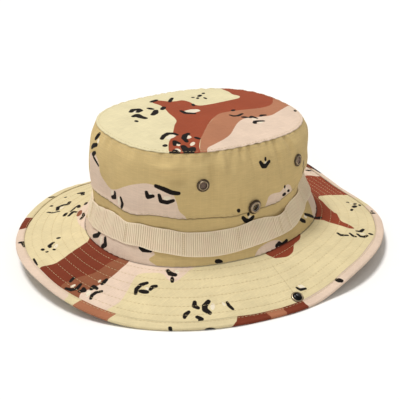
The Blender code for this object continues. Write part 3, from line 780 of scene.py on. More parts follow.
def patch_distance(points, corners):
    """Signed distance to a closed outline, below 0 inside it."""
    nearest = np.full(len(points), FAR)
    inside = np.zeros(len(points), bool)
    for a, b in zip(corners, np.roll(corners, -1, axis=0)):
        nearest = np.minimum(nearest, segment_distance(points, a, b)[0])
        crosses = (a[1] > points[:, 1]) != (b[1] > points[:, 1])
        rise = b[1] - a[1] if b[1] != a[1] else 1e-9
        inside ^= crosses & (points[:, 0] < a[0] + (b[0] - a[0]) * (points[:, 1] - a[1]) / rise)
    return np.where(inside, -nearest, nearest)


def stroke_distance(points, path, radius, spread):
    """Signed distance to a brush stroke that is fullest in its middle."""
    nearest = np.full(len(points), FAR)
    count = len(path) - 1
    for k in range(count):
        apart, t = segment_distance(points, path[k], path[k + 1])
        fullness = 0.85 + 0.30 * np.sin(math.pi * (k + t) / count)
        nearest = np.minimum(nearest, apart - radius * fullness - spread)
    return nearest


def near_box(points, shape):
    low, high = shape.min(0) - FAR, shape.max(0) + FAR
    return np.flatnonzero(((points >= low) & (points <= high)).all(1))


def print_pattern(thing, places, chart, patches, chips, whites=(), painted_shade=0.0):
    """Store on a piece its distance to each printed colour, its place on the chart and how much painted shade darkens
    it.
    """
    points = chart(*places)
    fields = {colour: np.full(len(points), FAR) for colour in PRINT_COLOURS}
    for colour, outlines in patches.items():
        for outline in outlines:
            shape = chart(*rounded_outline(outline).T)
            near = near_box(points, shape)
            found = patch_distance(points[near], shape)
            fields[colour][near] = np.minimum(fields[colour][near], found)
    for colour, strokes, spread in (("black", chips, INK_SPREAD), ("white", whites, WHITE_SPREAD)):
        for *corners, radius in strokes:
            shape = chart(*np.array(corners, float).T)
            near = near_box(points, shape)
            found = stroke_distance(points[near], shape, radius, spread)
            fields[colour][near] = np.minimum(fields[colour][near], found)
    for colour in PRINT_COLOURS:
        store(thing, f"print_{colour}", fields[colour])
    store_vector(thing, "cloth", np.column_stack([points, np.zeros(len(points))]))
    # painted shade: darkening stored for seams, edges and quilting rows, standing in for the shade that falls there
    store(thing, "painted_shade", np.zeros(len(points)) + painted_shade)


# ---- materials ---------------------------------------------------------------

CREAM = (0.728, 0.625, 0.380)
SHADED_SIDE_CREAM = (0.634, 0.478, 0.224)      # painted shade and warm bounce light: a darker, yellower copy of CREAM for the crown's side, which the overhead lamp lights less
PINK = (0.765, 0.605, 0.485)
LIGHT_BROWN = (0.415, 0.166, 0.088)
DARK_BROWN = (0.195, 0.038, 0.017)
LIT_TOP_CREAM = (0.765, 0.690, 0.445)       # painted light: a lighter copy of CREAM for the top, which faces the overhead lamp
# The top's browns are lighter copies as well: painted light and sheen on the top.
LIT_TOP_LIGHT_BROWN = (0.450, 0.195, 0.108)
LIT_TOP_DARK_BROWN = (0.335, 0.072, 0.032)
# Front and rear browns of the brim: partly the print's own tone, partly painted light, the rear brim being lit more
# than the front.
FRONT_LIGHT_BROWN = (0.262, 0.092, 0.045)
REAR_DARK_BROWN = (0.285, 0.054, 0.023)
FRONT_TO_REAR_MM = (-70.0, 70.0)            # mm along the chart in which front browns turn into rear ones
CHIP_BLACK = (0.010, 0.007, 0.006)
HIGHLIGHT = (0.820, 0.740, 0.590)
REVERSE = (0.600, 0.490, 0.290)         # the cloth's unprinted side
REVERSE_SHARE = 0.68                    # how much of the print it hides
PRINT_WEAVE = 0.56                      # mm from thread to thread
TWILL_WEAVE = 0.6
WEBBING_WEAVE = 0.55


class Finish:
    """Shorthand for building one node material."""

    def __init__(self, name, roughness, metallic=0.0, sheen=0.0):
        self.material = bpy.data.materials.new(name)
        self.material.use_nodes = True
        self.tree = self.material.node_tree
        self.shader = self.tree.nodes["Principled BSDF"]
        self.shader.inputs["Roughness"].default_value = roughness
        self.shader.inputs["Metallic"].default_value = metallic
        self.shader.inputs["Sheen Weight"].default_value = sheen
        self.shader.inputs["Sheen Roughness"].default_value = 0.45

    def add(self, kind, settings=None, **inputs):
        node = self.tree.nodes.new(kind)
        for key, value in (settings or {}).items():
            setattr(node, key, value)
        for key, value in inputs.items():
            self.feed(node.inputs[key.replace("_", " ")], value)
        return node

    def feed(self, socket, value):
        if isinstance(value, bpy.types.NodeSocket):
            self.tree.links.new(value, socket)
        else:
            socket.default_value = value

    def calc(self, operation, *values):
        node = self.tree.nodes.new("ShaderNodeMath")
        node.operation = operation
        for socket, value in zip(node.inputs, values):
            self.feed(socket, value)
        return node.outputs[0]

    def attribute(self, name, output="Fac"):
        return self.add("ShaderNodeAttribute", {"attribute_name": name}).outputs[output]

    def mix(self, factor, one, two, blend="MIX"):
        node = self.add("ShaderNodeMix", {"data_type": "RGBA", "blend_type": blend})
        self.feed(node.inputs[0], factor)
        for socket, value in ((node.inputs[6], one), (node.inputs[7], two)):
            self.feed(socket, (*value, 1) if isinstance(value, tuple) else value)
        return node.outputs[2]

    def noise(self, vector, scale, detail=2.0, roughness=0.5):
        node = self.add("ShaderNodeTexNoise", Vector=vector, Scale=scale, Detail=detail, Roughness=roughness)
        return node.outputs[0]

    def ramp(self, value, low, high, out_low=0.0, out_high=1.0):
        node = self.add("ShaderNodeMapRange", {"interpolation_type": "SMOOTHSTEP"})
        sockets = ("Value", "From Min", "From Max", "To Min", "To Max")
        for key, item in zip(sockets, (value, low, high, out_low, out_high)):
            self.feed(node.inputs[key], item)
        return node.outputs[0]

    def grey(self, level):
        return self.add("ShaderNodeCombineColor", Red=level, Green=level, Blue=level).outputs[0]

    def finish(self, colour, height, distance, strength=1.0):
        """Connect the colour, and the height of the surface, whose full range is a distance in metres."""
        self.feed(self.shader.inputs["Base Color"], colour)
        raised = self.add("ShaderNodeBump", Height=height, Distance=distance, Strength=strength)
        self.feed(self.shader.inputs["Normal"], raised.outputs[0])
        return self.material


def weave(made, vector, period):
    """Height of a plain weave, 0 to 1, with a thicker ripstop thread every few millimetres."""
    apart = made.add("ShaderNodeSeparateXYZ", Vector=vector)
    across = made.calc("SINE", made.calc("MULTIPLY", apart.outputs[0], TURN / period))
    along = made.calc("SINE", made.calc("MULTIPLY", apart.outputs[1], TURN / period))
    height = made.calc("MULTIPLY_ADD", made.calc("MULTIPLY", across, along), 0.5, 0.5)
    for axis in (0, 1):
        wave = made.calc("COSINE", made.calc("MULTIPLY", apart.outputs[axis], TURN / (period * 9)))
        height = made.calc("MULTIPLY_ADD", made.ramp(wave, 0.90, 1.0), 0.45, height)
    return height


def printed_cloth(
        name, ground=CREAM, shade=1.0, bias=False, light=(LIGHT_BROWN,) * 2, dark=(DARK_BROWN,) * 2):
    """Printed cotton. Each brown has a front and a rear tone, partly the print's own and partly painted light. Bias
    tape has its weave at 45 degrees.
    """
    made = Finish(name, 0.92, sheen=0.03)
    made.shader.inputs["Specular IOR Level"].default_value = 0.18
    vector = made.attribute("cloth", "Vector")
    if bias:
        about = {"rotation_type": "Z_AXIS"}
        vector = made.add("ShaderNodeVectorRotate", about, Vector=vector, Angle=math.pi / 4).outputs[0]
    wobble = made.calc("MULTIPLY_ADD", made.noise(vector, 1.3, 3), 0.7, -0.35)
    backward = made.add("ShaderNodeSeparateXYZ", Vector=made.attribute("cloth", "Vector")).outputs[0]
    backward = made.ramp(backward, *FRONT_TO_REAR_MM)
    light_ink, dark_ink = (made.mix(backward, front, rear) for front, rear in (light, dark))
    colour = ground
    inks = {"pink": PINK, "light": light_ink, "dark": dark_ink, "white": HIGHLIGHT, "black": CHIP_BLACK}
    for word, ink in inks.items():
        edge = made.calc("ADD", made.attribute(f"print_{word}"), wobble)
        colour = made.mix(made.ramp(edge, 0.22, -0.22), colour, ink)
    colour = made.mix(made.calc("MULTIPLY", made.attribute("reverse"), REVERSE_SHARE), colour, REVERSE)
    fade = made.ramp(made.noise(vector, 0.045, 4), 0.30, 0.72, 0.95 * shade, 1.04 * shade)
    threads = weave(made, vector, PRINT_WEAVE)
    stretched = made.add("ShaderNodeMapping", Vector=vector, Scale=(0.12, 1.5, 1.0)).outputs[0]
    slubs = made.noise(stretched, 1.0, 2)
    fleck = made.ramp(made.noise(vector, 3.2, 2), 0.25, 0.75, 0.95, 1.04)
    fleck = made.calc("MULTIPLY", fleck, made.ramp(slubs, 0.3, 0.7, 0.95, 1.04))
    tone = made.calc("MULTIPLY", made.calc("MULTIPLY", fade, fleck), made.ramp(threads, 0.0, 1.2, 0.95, 1.03))
    # painted shade: darkens the colour to as little as 30 percent beside seams and edges
    tone = made.calc("MULTIPLY", tone, made.ramp(made.attribute("painted_shade"), 0.0, 1.0, 1.0, 0.30))
    height = made.calc("MULTIPLY_ADD", slubs, 0.8, threads)
    return made.finish(made.mix(1.0, colour, made.grey(tone), "MULTIPLY"), height, 0.09 * MM, 0.8)


def plain_cloth(name, colour):
    made = Finish(name, 0.92, sheen=0.05)
    made.shader.inputs["Specular IOR Level"].default_value = 0.2
    vector = made.attribute("cloth", "Vector")
    threads = weave(made, vector, TWILL_WEAVE)
    tone = made.ramp(made.noise(vector, 0.08, 4), 0.3, 0.7, 0.90, 1.06)
    tone = made.calc("MULTIPLY", tone, made.ramp(threads, 0, 1, 0.90, 1.05))
    return made.finish(made.mix(1.0, colour, made.grey(tone), "MULTIPLY"), threads, 0.10 * MM)


def webbing_cloth():
    """Cotton webbing. Its ribs are in the mesh; here are its threads, painted shade in the grooves and uneven dye."""
    made = Finish("webbing cotton", 0.9, sheen=0.06)
    made.shader.inputs["Specular IOR Level"].default_value = 0.2
    vector = made.attribute("cloth", "Vector")
    apart = made.add("ShaderNodeSeparateXYZ", Vector=vector)
    picks = made.calc("SINE", made.calc("MULTIPLY", apart.outputs[1], TURN / WEBBING_WEAVE))
    blotch = made.ramp(made.noise(vector, 0.11, 4), 0.40, 0.66)
    tone = made.mix(blotch, (0.95, 0.83, 0.63), (0.94, 0.78, 0.60))
    # painted shade: the rib grooves are darkened in colour
    tone = made.mix(made.attribute("groove"), tone, (0.60, 0.47, 0.30))
    light = made.grey(made.ramp(picks, -1, 1, 0.92, 1.04))
    return made.finish(made.mix(1.0, tone, light, "MULTIPLY"), picks, 0.06 * MM)


def thread_finish(name, colour):
    """Twisted sewing thread."""
    made = Finish(name, 0.85, sheen=0.05)
    made.shader.inputs["Specular IOR Level"].default_value = 0.2
    place = made.add("ShaderNodeTexCoord").outputs["Object"]
    twist = made.noise(place, 2600, 2)
    tone = made.mix(made.ramp(twist, 0.3, 0.7), tuple(0.72 * c for c in colour), colour)
    return made.finish(tone, twist, 0.06 * MM)


def metal_finish(name, dark, bright, roughness, worn=0.5):
    """Plated brass, darkened in the hollows and rubbed bright in fine scratches and on the rims."""
    made = Finish(name, roughness, metallic=1.0)
    place = made.add("ShaderNodeTexCoord").outputs["Object"]
    uneven = made.calc("MULTIPLY_ADD", made.noise(place, 900, 5), 0.7, -0.35)
    rubbed = made.calc("ADD", made.attribute("rim"), uneven)
    tone = made.mix(made.ramp(rubbed, worn - 0.25, worn + 0.3), dark, bright)
    scratch = made.noise(place, 5200, 3)
    rough = made.ramp(made.noise(place, 1500, 3), 0.3, 0.7, roughness - 0.10, roughness + 0.14)
    made.feed(made.shader.inputs["Roughness"], rough)
    return made.finish(tone, scratch, 0.02 * MM, 0.6)


def felt_finish(name, colour):
    made = Finish(name, 0.95)
    place = made.add("ShaderNodeTexCoord").outputs["Object"]
    fibres = made.noise(place, 1400, 6, 0.7)
    tone = made.mix(fibres, tuple(0.8 * c for c in colour), colour)
    return made.finish(tone, fibres, 0.2 * MM)


# ---- thread ------------------------------------------------------------------

def stitch_points(path, normals, length=STITCH, gap=STITCH_GAP, radius=THREAD, sink=0.4):
    """Rounded stitches along a path: points of shape (stitches, rings, around, 3)."""
    rings, around = 5, 6
    travelled = path_length(path)
    count = max(1, int(travelled[-1] / (length + gap)))
    centres = (np.arange(count) + 0.5) * travelled[-1] / count
    t = np.linspace(-1, 1, rings)
    at = centres[:, None] + t[None, :] * length / 2
    middle = np.stack([np.interp(at, travelled, path[:, k]) for k in range(3)], -1)
    up = unit(np.stack([np.interp(at, travelled, normals[:, k]) for k in range(3)], -1))
    ahead = unit(np.gradient(middle, axis=1))
    across = np.cross(ahead, up)
    middle = middle + up * (radius * (0.75 - (0.75 + sink) * t ** 4))[None, :, None]
    turn = np.linspace(0, TURN, around, endpoint=False)
    thick = radius * np.array([0.5, 0.95, 1.0, 0.95, 0.5])
    return (middle[:, :, None, :]
            + across[:, :, None, :] * (thick[:, None] * np.cos(turn))[None, :, :, None]
            + up[:, :, None, :] * (thick[:, None] * np.sin(turn))[None, :, :, None])


def thread_piece(name, runs, material):
    """One piece from several runs of stitches."""
    blocks = np.concatenate(runs)
    count, rings, around = blocks.shape[:3]
    number = np.arange(rings * around).reshape(rings, around)
    quads = np.concatenate([strip(number[r], number[r + 1], True) for r in range(rings - 1)])
    offsets = np.arange(count)[:, None, None] * rings * around
    faces = (quads[None] + offsets).reshape(-1, 4).tolist()
    for start in range(0, count * rings * around, rings * around):
        faces.append(tuple(start + n for n in number[0][::-1]))
        faces.append(tuple(start + n for n in number[-1]))
    return make_object(name, blocks.reshape(-1, 3), faces, material, sharp=80)


def half_turn(way, count):
    """Angles of one half of the hat, from its front or back centre line to the other."""
    return np.linspace(-math.pi, 0, count) if way < 0 else np.linspace(0, math.pi, count)


# ---- crown -------------------------------------------------------------------

def crown_top(material, thread):
    """Domed top panel whose edge turns down into the seam."""
    angle = np.linspace(0, TURN, 640, endpoint=False)[None, :]
    share = np.concatenate([np.linspace(0.010, 0.985, 96), [0.991, 0.996, 1.0, 1.001]])[:, None]
    angle, share = np.broadcast_arrays(angle, share)
    edge = np.zeros(share.shape)
    edge[-4:] = -np.array([0.04, 0.14, 0.34, 0.80])[:, None] * MM
    slack = 0.55 * MM * ripple(angle, 5 * share, 3, 8, 31) * share ** 2 * (1 - share ** 8)
    pucker = 0.22 * MM * ripple(angle, 4 * share, 40, 70, 32) * bump(share - 1, 0.05)
    hollow = -1.3 * MM * bump(turn_between(angle, 222), 22) * bump(share - 0.80, 0.08)
    hollow = hollow - 1.0 * MM * bump(turn_between(angle, 196), 12) * bump(share - 0.86, 0.07)
    middle = top_panel(angle, share)
    middle[..., 2] += 0.8 * MM + slack + pucker + hollow
    outer, inner = middle.copy(), middle.copy()
    outer[..., 2] += CLOTH / 2 + edge
    inner[..., 2] -= CLOTH / 2
    thing = shell("top_panel", outer, some_rows(inner), material, wrap=True, hub=True)
    flat = oval(TOP_HALF, TOP_POWER, angle) * share[..., None] / MM
    flat = np.concatenate([flat.reshape(-1, 2), some_rows(flat).reshape(-1, 2), np.zeros((2, 2))])
    # painted shade where the top's edge turns down into the seam
    painted_shade = [bump(grid - 1.0, 0.006).ravel() for grid in (share, some_rows(share))]
    painted_shade = np.concatenate(painted_shade + [[0, 0]])
    print_pattern(thing, flat.T, top_chart, TOP_PATCHES, TOP_CHIPS, TOP_WHITES, 0.3 * painted_shade)
    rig.ride(replace(thing, "camouflage_cloth", "crown_top"), "crown")
    row = int(np.argmin(np.abs(share[:, 0] - 0.975)))
    path = np.concatenate([outer[row], outer[row][:1]])
    up = np.tile([0.0, 0.0, 1.0], (len(path), 1))
    stitches = stitch_points(path, up, *FINE_STITCH)
    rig.ride(thread_piece("top_seam_stitches", [stitches], thread), "crown")


def joined_rows(*parts):
    """Heights from one value to the next, as (from, to, count) parts that may change round the hat."""
    rows = [low + (high - low) * np.linspace(0, 1, count)[:, None] for low, high, count in parts]
    return np.concatenate([part[1:] if k else part for k, part in enumerate(rows)])


def printed_side(name, angle, share, extra, painted_shade, material, patches, chips, whites):
    """A strip of the crown's side with its relief and an extra lift, printed and given its painted seam shade."""
    normal = side_normal(angle, share)
    middle = side(angle, share) + normal * (side_relief(angle, share) + extra)[..., None]
    inner = some_rows(middle - normal * CLOTH / 2)
    thing = shell(name, middle + normal * CLOTH / 2, inner, material, wrap=True)
    both = both_faces(np.degrees(angle), share, painted_shade)
    print_pattern(thing, both[:2], side_chart, patches, chips, whites, both[2])
    return thing


def crown_sides(material, thread):
    """Lower strip of the crown's side, and the upper one that laps over it."""
    angle = np.linspace(0, TURN, 900, endpoint=False)[None, :]
    seam = seam_share(angle)
    even = 0 * seam
    share = joined_rows(
        (seam - 0.004, seam + 0.02, 7), (seam + 0.02, 0.98 + even, 68), (0.98 + even, 1.002 + even, 7))
    wide = np.broadcast_to(angle, share.shape)
    lap = 0.50 * MM * bump(share - seam - 0.010, 0.014) - 0.45 * MM * bump(share - seam + 0.004, 0.004)
    tuck = -0.35 * MM * bump(share - 1.002, 0.010)
    # painted shade along the lap seam and the top seam
    painted_shade = np.clip(1.0 * bump(share - seam + 0.004, 0.0098) + 0.34 * bump(share - 1.002, 0.009), 0, 1)
    thing = printed_side(
        "side_upper_cloth", wide, share, lap + tuck, painted_shade, material, SIDE_PATCHES, SIDE_CHIPS, SIDE_WHITES)
    cut_holes(thing)
    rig.ride(replace(thing, "camouflage_cloth", "crown_side_upper"), "crown")
    share = joined_rows(
        (-0.006 + even, 0.02 + even, 5), (0.02 + even, seam - 0.03, 40), (seam - 0.03, seam + 0.004, 7))
    wide = np.broadcast_to(angle, share.shape)
    tuck = -0.35 * MM * bump(share - seam, 0.016) - 0.5 * MM * bump(share + 0.006, 0.012)
    # painted shade along the lap seam and where the side meets the brim
    painted_shade = np.clip(0.85 * bump(share - seam, 0.012) + 0.95 * bump(share + 0.003, 0.009), 0, 1)
    chips = SIDE_CHIPS + LOWER_CHIPS
    thing = printed_side(
        "side_lower_cloth", wide, share, tuck, painted_shade, material, LOWER_PATCHES, chips, LOWER_WHITES)
    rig.ride(replace(thing, "camouflage_cloth", "crown_side_lower"), "crown")
    angle = np.linspace(0, TURN, 900)
    runs = []
    for share in (np.full(angle.shape, 0.976), seam_share(angle) + 0.016):
        normal = side_normal(angle, share)
        lap = 0.50 * MM * bump(share - seam_share(angle) - 0.010, 0.014)
        height = side_relief(angle, share) + lap + CLOTH / 2 - 0.08 * MM
        path = side(angle, share) + normal * height[:, None]
        runs.append(stitch_points(path, normal, *FINE_STITCH))
    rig.ride(thread_piece("side_seam_stitches", runs, thread), "crown")


def cut_holes(thing):
    """Round holes through the cloth under the vents."""
    points, faces = [], []
    around = 40
    deep = 6 * MM
    turn = np.linspace(0, TURN, around, endpoint=False)
    circle = [(VENT_HOLE * math.cos(t), VENT_HOLE * math.sin(t)) for t in turn]
    for _, way in SIDES:
        for vent_x in (-VENT_X, VENT_X):
            place = side_frame(way, vent_x, VENT_HEIGHT)
            ring = np.arange(around) + len(points)
            for height in (-deep, deep):
                points += [place @ Vector((x, y, height)) for x, y in circle]
            faces += strip(ring, ring + around, True).tolist()
            faces += [ring[::-1].tolist(), (ring + around).tolist()]
    drill = make_object("drill", points, faces, thing.data.materials[0])
    cut = thing.modifiers.new("holes", "BOOLEAN")
    cut.object = drill
    cut.solver = "EXACT"
    cut.operation = "DIFFERENCE"
    mesh = bpy.data.meshes.new_from_object(thing.evaluated_get(bpy.context.evaluated_depsgraph_get()))
    thing.modifiers.clear()
    thing.data = mesh
    bpy.data.objects.remove(drill)


# Webbing's edges: degrees and share of the side's height.
BAND_TOP = (
    (0, 0.31), (20, 0.33), (45, 0.3), (60, 0.325), (75, 0.31), (90, 0.33), (105, 0.3), (120, 0.33),
    (135, 0.31), (150, 0.33), (167, 0.307), (183, 0.345), (188, 0.35), (193, 0.323), (197, 0.327),
    (202, 0.352), (208, 0.33), (218, 0.322), (224, 0.296), (239, 0.281), (256, 0.286), (267, 0.309),
    (277, 0.301), (284, 0.266), (289, 0.272), (296, 0.31), (302, 0.342), (314, 0.357), (335, 0.335),
)
BAND_FOOT = (
    (0, 0.11), (45, 0.12), (90, 0.1), (130, 0.125), (150, 0.12), (167, 0.122), (178, 0.127), (191, 0.142),
    (196, 0.136), (203, 0.152), (210, 0.128), (217, 0.12), (226, 0.095), (240, 0.075), (250, 0.078),
    (260, 0.093), (268, 0.1), (290, 0.097), (298, 0.105), (306, 0.15), (317, 0.19), (335, 0.15),
)
BAND_TACKS = tuple(range(15, 360, 30))  # degrees
BAND_BUCKLES = (34, 83, 118, 164, 171, 178, 187, 201, 214, 262, 340)
BAND_SIZE_MM = (560, 19)
BAND_END = 293.5                        # where the webbing's top end lies over its other end
BAND_LAP = 13
RIB_COUNT = 330
BAND_THICK = 0.85 * MM


def band_stand_off(angle, across):
    """Gap behind the webbing: closed at its tacks, slack between them, most beside its lapped end."""
    slack = 0.32 * MM * (1 + ripple(angle, 2 * across, 6, 16, 43))
    for degrees in BAND_TACKS:
        slack = slack * (1 - 0.95 * bump(turn_between(angle, degrees), 4.5))
    for degrees in BAND_BUCKLES:
        slack = slack + 0.95 * MM * bump(turn_between(angle, degrees), 1.7)
    gape = 1.1 * MM * bump(turn_between(angle, 288), 5) * across
    lapped = np.clip(turn_between(angle, BAND_END - BAND_LAP), 0, 1) * (turn_between(angle, BAND_END) < 0)
    lap = 0.8 * MM * lapped
    return 0.22 * MM + slack * (0.4 + 0.6 * across) + gape + lap


def loop_band(material, thread):
    """Ribbed webbing loops round the crown, tacked down every so often."""
    columns, rows = 2640, 15
    angle = np.linspace(0, TURN, columns, endpoint=False)[None, :]
    across = np.linspace(0, 1, rows)[:, None]
    angle, across = np.broadcast_arrays(angle, across)
    share = traced(BAND_FOOT, angle[0]) * (1 - across) + traced(BAND_TOP, angle[0]) * across
    cloth = side_relief(angle, share) + CLOTH / 2
    surface = side(angle, share) + side_normal(angle, share) * cloth[..., None]
    low, high = surface[:1], surface[-1:]
    chord = low * (1 - across[..., None]) + high * across[..., None]
    normal = unit(np.cross(np.roll(chord, -1, 1) - np.roll(chord, 1, 1), high - low))
    hollow = np.maximum(((chord - surface) * normal).sum(-1), 0)
    groove = np.clip(0.5 - 0.5 * np.cos(RIB_COUNT * angle), 0, 1) ** 2
    edge = bump(across, 0.05) + bump(across - 1, 0.05)
    lift = band_stand_off(angle, across) + 0.75 * hollow
    thick = BAND_THICK - 0.20 * MM * groove * (1 - edge) - 0.20 * MM * edge
    inner = surface + normal * lift[..., None]
    outer = inner + normal * thick[..., None]
    thing = shell("webbing_band", outer, inner, material, wrap=True)
    length, width = BAND_SIZE_MM
    chart = np.stack([angle / TURN * length, across * width, 0 * angle], -1).reshape(-1, 3)
    store_vector(thing, "cloth", np.concatenate([chart, chart]))
    # painted shade for the webbing's rib grooves, away from its edges
    shade = np.clip(groove * (1 - edge), 0, 1).ravel()
    store(thing, "groove", np.concatenate([shade, shade]))
    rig.ride(replace(thing, "webbing", "loop_band"), "crown")
    runs = []
    for degrees in BAND_TACKS + (BAND_END - 1.2,):
        for aside in (-0.4, 0.4):
            column = int(round((degrees + aside) / 360 * columns)) % columns
            path = outer[1:-1, column]
            runs.append(stitch_points(path, np.repeat(normal[:1, column], len(path), 0), *TACK_STITCH))
    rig.ride(thread_piece("webbing_tacks", runs, thread), "crown")


SWEATBAND_SHARES = (0.006, 0.335)       # of the side's height, at its foot and its top
SWEATBAND_LENGTH_MM = 540


def sweatband(material, thread):
    """Twill band sewn inside the crown's foot."""
    angle = np.linspace(0, TURN, 360, endpoint=False)[None, :]
    foot, top = SWEATBAND_SHARES
    share = np.linspace(foot, top, 26)[:, None]
    angle, share = np.broadcast_arrays(angle, share)
    normal = side_normal(angle, share)
    roll = 0.25 * MM * (bump(share - top, 0.012) + bump(share - foot, 0.012))
    waves = 0.15 * MM * ripple(angle, 6 * share, 20, 60, 51)
    middle = side(angle, share) + normal * np.minimum(side_relief(angle, share), 0)[..., None]
    outer = middle - normal * 1.05 * MM
    inner = middle - normal * (1.9 * MM + roll + waves)[..., None]
    thing = shell("sweatband_cloth", inner, outer, material, wrap=True)
    chart = np.stack([angle / TURN * SWEATBAND_LENGTH_MM, share * SIDE_HEIGHT_MM, 0 * share], -1)
    chart = chart.reshape(-1, 3)
    store_vector(thing, "cloth", np.concatenate([chart, chart]))
    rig.ride(replace(thing, "sweatband_cloth", "sweatband"), "crown")
    runs = []
    for row in (1, 23):
        path = np.concatenate([inner[row], inner[row][:1]])
        runs.append(stitch_points(path, -np.concatenate([normal[row], normal[row][:1]])))
    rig.ride(thread_piece("sweatband_stitches", runs, thread), "crown")


# ---- brim --------------------------------------------------------------------

def on_table(points):
    """Lift what would be below the table onto it."""
    points[..., 2] = np.maximum(points[..., 2], 0)
    return points


def brim_surface(angle, reach, height):
    """Point of the brim at a height off its middle surface."""
    slack = brim_slack(angle, reach)
    return on_table(brim(angle, reach) + brim_normal(angle, reach) * (slack + height)[..., None])


def brim_ply(name, way, low, high, material, count, rows):
    """Half of one ply, cut at the front and back centre lines. Its outer face is drawn in by the quilting."""
    angle = half_turn(way, count)[None, :]
    reach = np.linspace(-0.0006, CLOTH_REACH, rows)[:, None]
    angle, reach = np.broadcast_arrays(angle, reach)
    outer = high - np.sign(high) * quilt_dip(angle, reach)
    under = brim_surface(some_rows(angle), some_rows(reach), np.full(some_rows(angle).shape, low))
    thing = shell(name, brim_surface(angle, reach, outer), under, material)
    return thing, both_faces(np.degrees(angle) % 360, reach / MM)


def brim_painted_shade(degrees, reach):
    """Painted shade beside the crown seam, the binding and the side seams, and faintly along the quilting rows."""
    painted_shade = 0.95 * bump(reach - 0.1, 0.75) + 0.55 * bump(reach - (BRIM_WIDTH - BINDING_WIDTH) / MM, 0.35)
    angle = np.radians(degrees)
    for row in range(QUILT_ROWS):
        painted_shade = painted_shade + 0.02 * bump(reach - quilt_reach(row, angle) / MM, 0.5)
    for side_seam in (90 - SIDE_SEAM_TURN, 270 - SIDE_SEAM_TURN):
        aside = np.radians(turn_between(angle, side_seam)) * (90 + reach)
        painted_shade = painted_shade + 0.32 * bump(aside, 0.4) * (reach > SIDE_SEAM_FROM / MM)
    return np.clip(painted_shade, 0, 1)


def brim_plies(way, word, materials):
    """Upper cloth, interlining and under cloth of one half."""
    cloth = materials["camouflage"]
    thing, places = brim_ply(f"brim_{word}_upper_cloth", way, PLY_LOW, PLY_HIGH, cloth, 780, 100)
    print_pattern(thing, places, brim_chart, BRIM_PATCHES, BRIM_CHIPS, BRIM_WHITES, brim_painted_shade(*places))
    fold_with(replace(thing, "camouflage_cloth", f"brim_upper_{word}", "brim_upper_middle"), way)
    thing, places = brim_ply(f"brim_{word}_under_cloth", way, -PLY_LOW, -PLY_HIGH, cloth, 480, 64)
    painted_shade = brim_painted_shade(*places)
    places = ((places[0] + UNDER_TURN) % 360, places[1])
    print_pattern(thing, places, brim_chart, BRIM_PATCHES, BRIM_CHIPS, BRIM_WHITES, painted_shade)
    fold_with(replace(thing, "camouflage_cloth", f"brim_under_{word}", "brim_under_middle"), way)
    angle = half_turn(way, 200)[None, :]
    reach = np.linspace(0.0002, CLOTH_REACH, 30)[:, None]
    angle, reach = np.broadcast_arrays(angle, reach)
    half = np.full(angle.shape, INTERLINING_HALF)
    thing = shell(
        f"brim_{word}_interlining", brim_surface(angle, reach, half), brim_surface(angle, reach, -half),
        materials["felt"])
    fold_with(replace(thing, "interlining", f"brim_interlining_{word}", "brim_interlining_middle"), way)


def tape_section():
    """Binding's outside and inside as (reach, height) pairs, from the top leg's edge to the bottom's."""
    leg = np.linspace(BRIM_WIDTH - BINDING_WIDTH, BRIM_WIDTH - TAPE_HIGH, 12)
    turn = np.linspace(math.pi / 2, -math.pi / 2, 9)[1:-1]
    centre = BRIM_WIDTH - TAPE_HIGH
    outside = [(r, TAPE_HIGH) for r in leg]
    outside += [(centre + TAPE_HIGH * math.cos(t), TAPE_HIGH * math.sin(t)) for t in turn]
    outside += [(r, -TAPE_HIGH) for r in leg[::-1]]
    inside = [(r, TAPE_LOW) for r in leg]
    inside += [(centre + TAPE_LOW * math.cos(t) * 0.8, TAPE_LOW * math.sin(t)) for t in turn]
    inside += [(r, -TAPE_LOW) for r in leg[::-1]]
    return np.array(outside), np.array(inside)


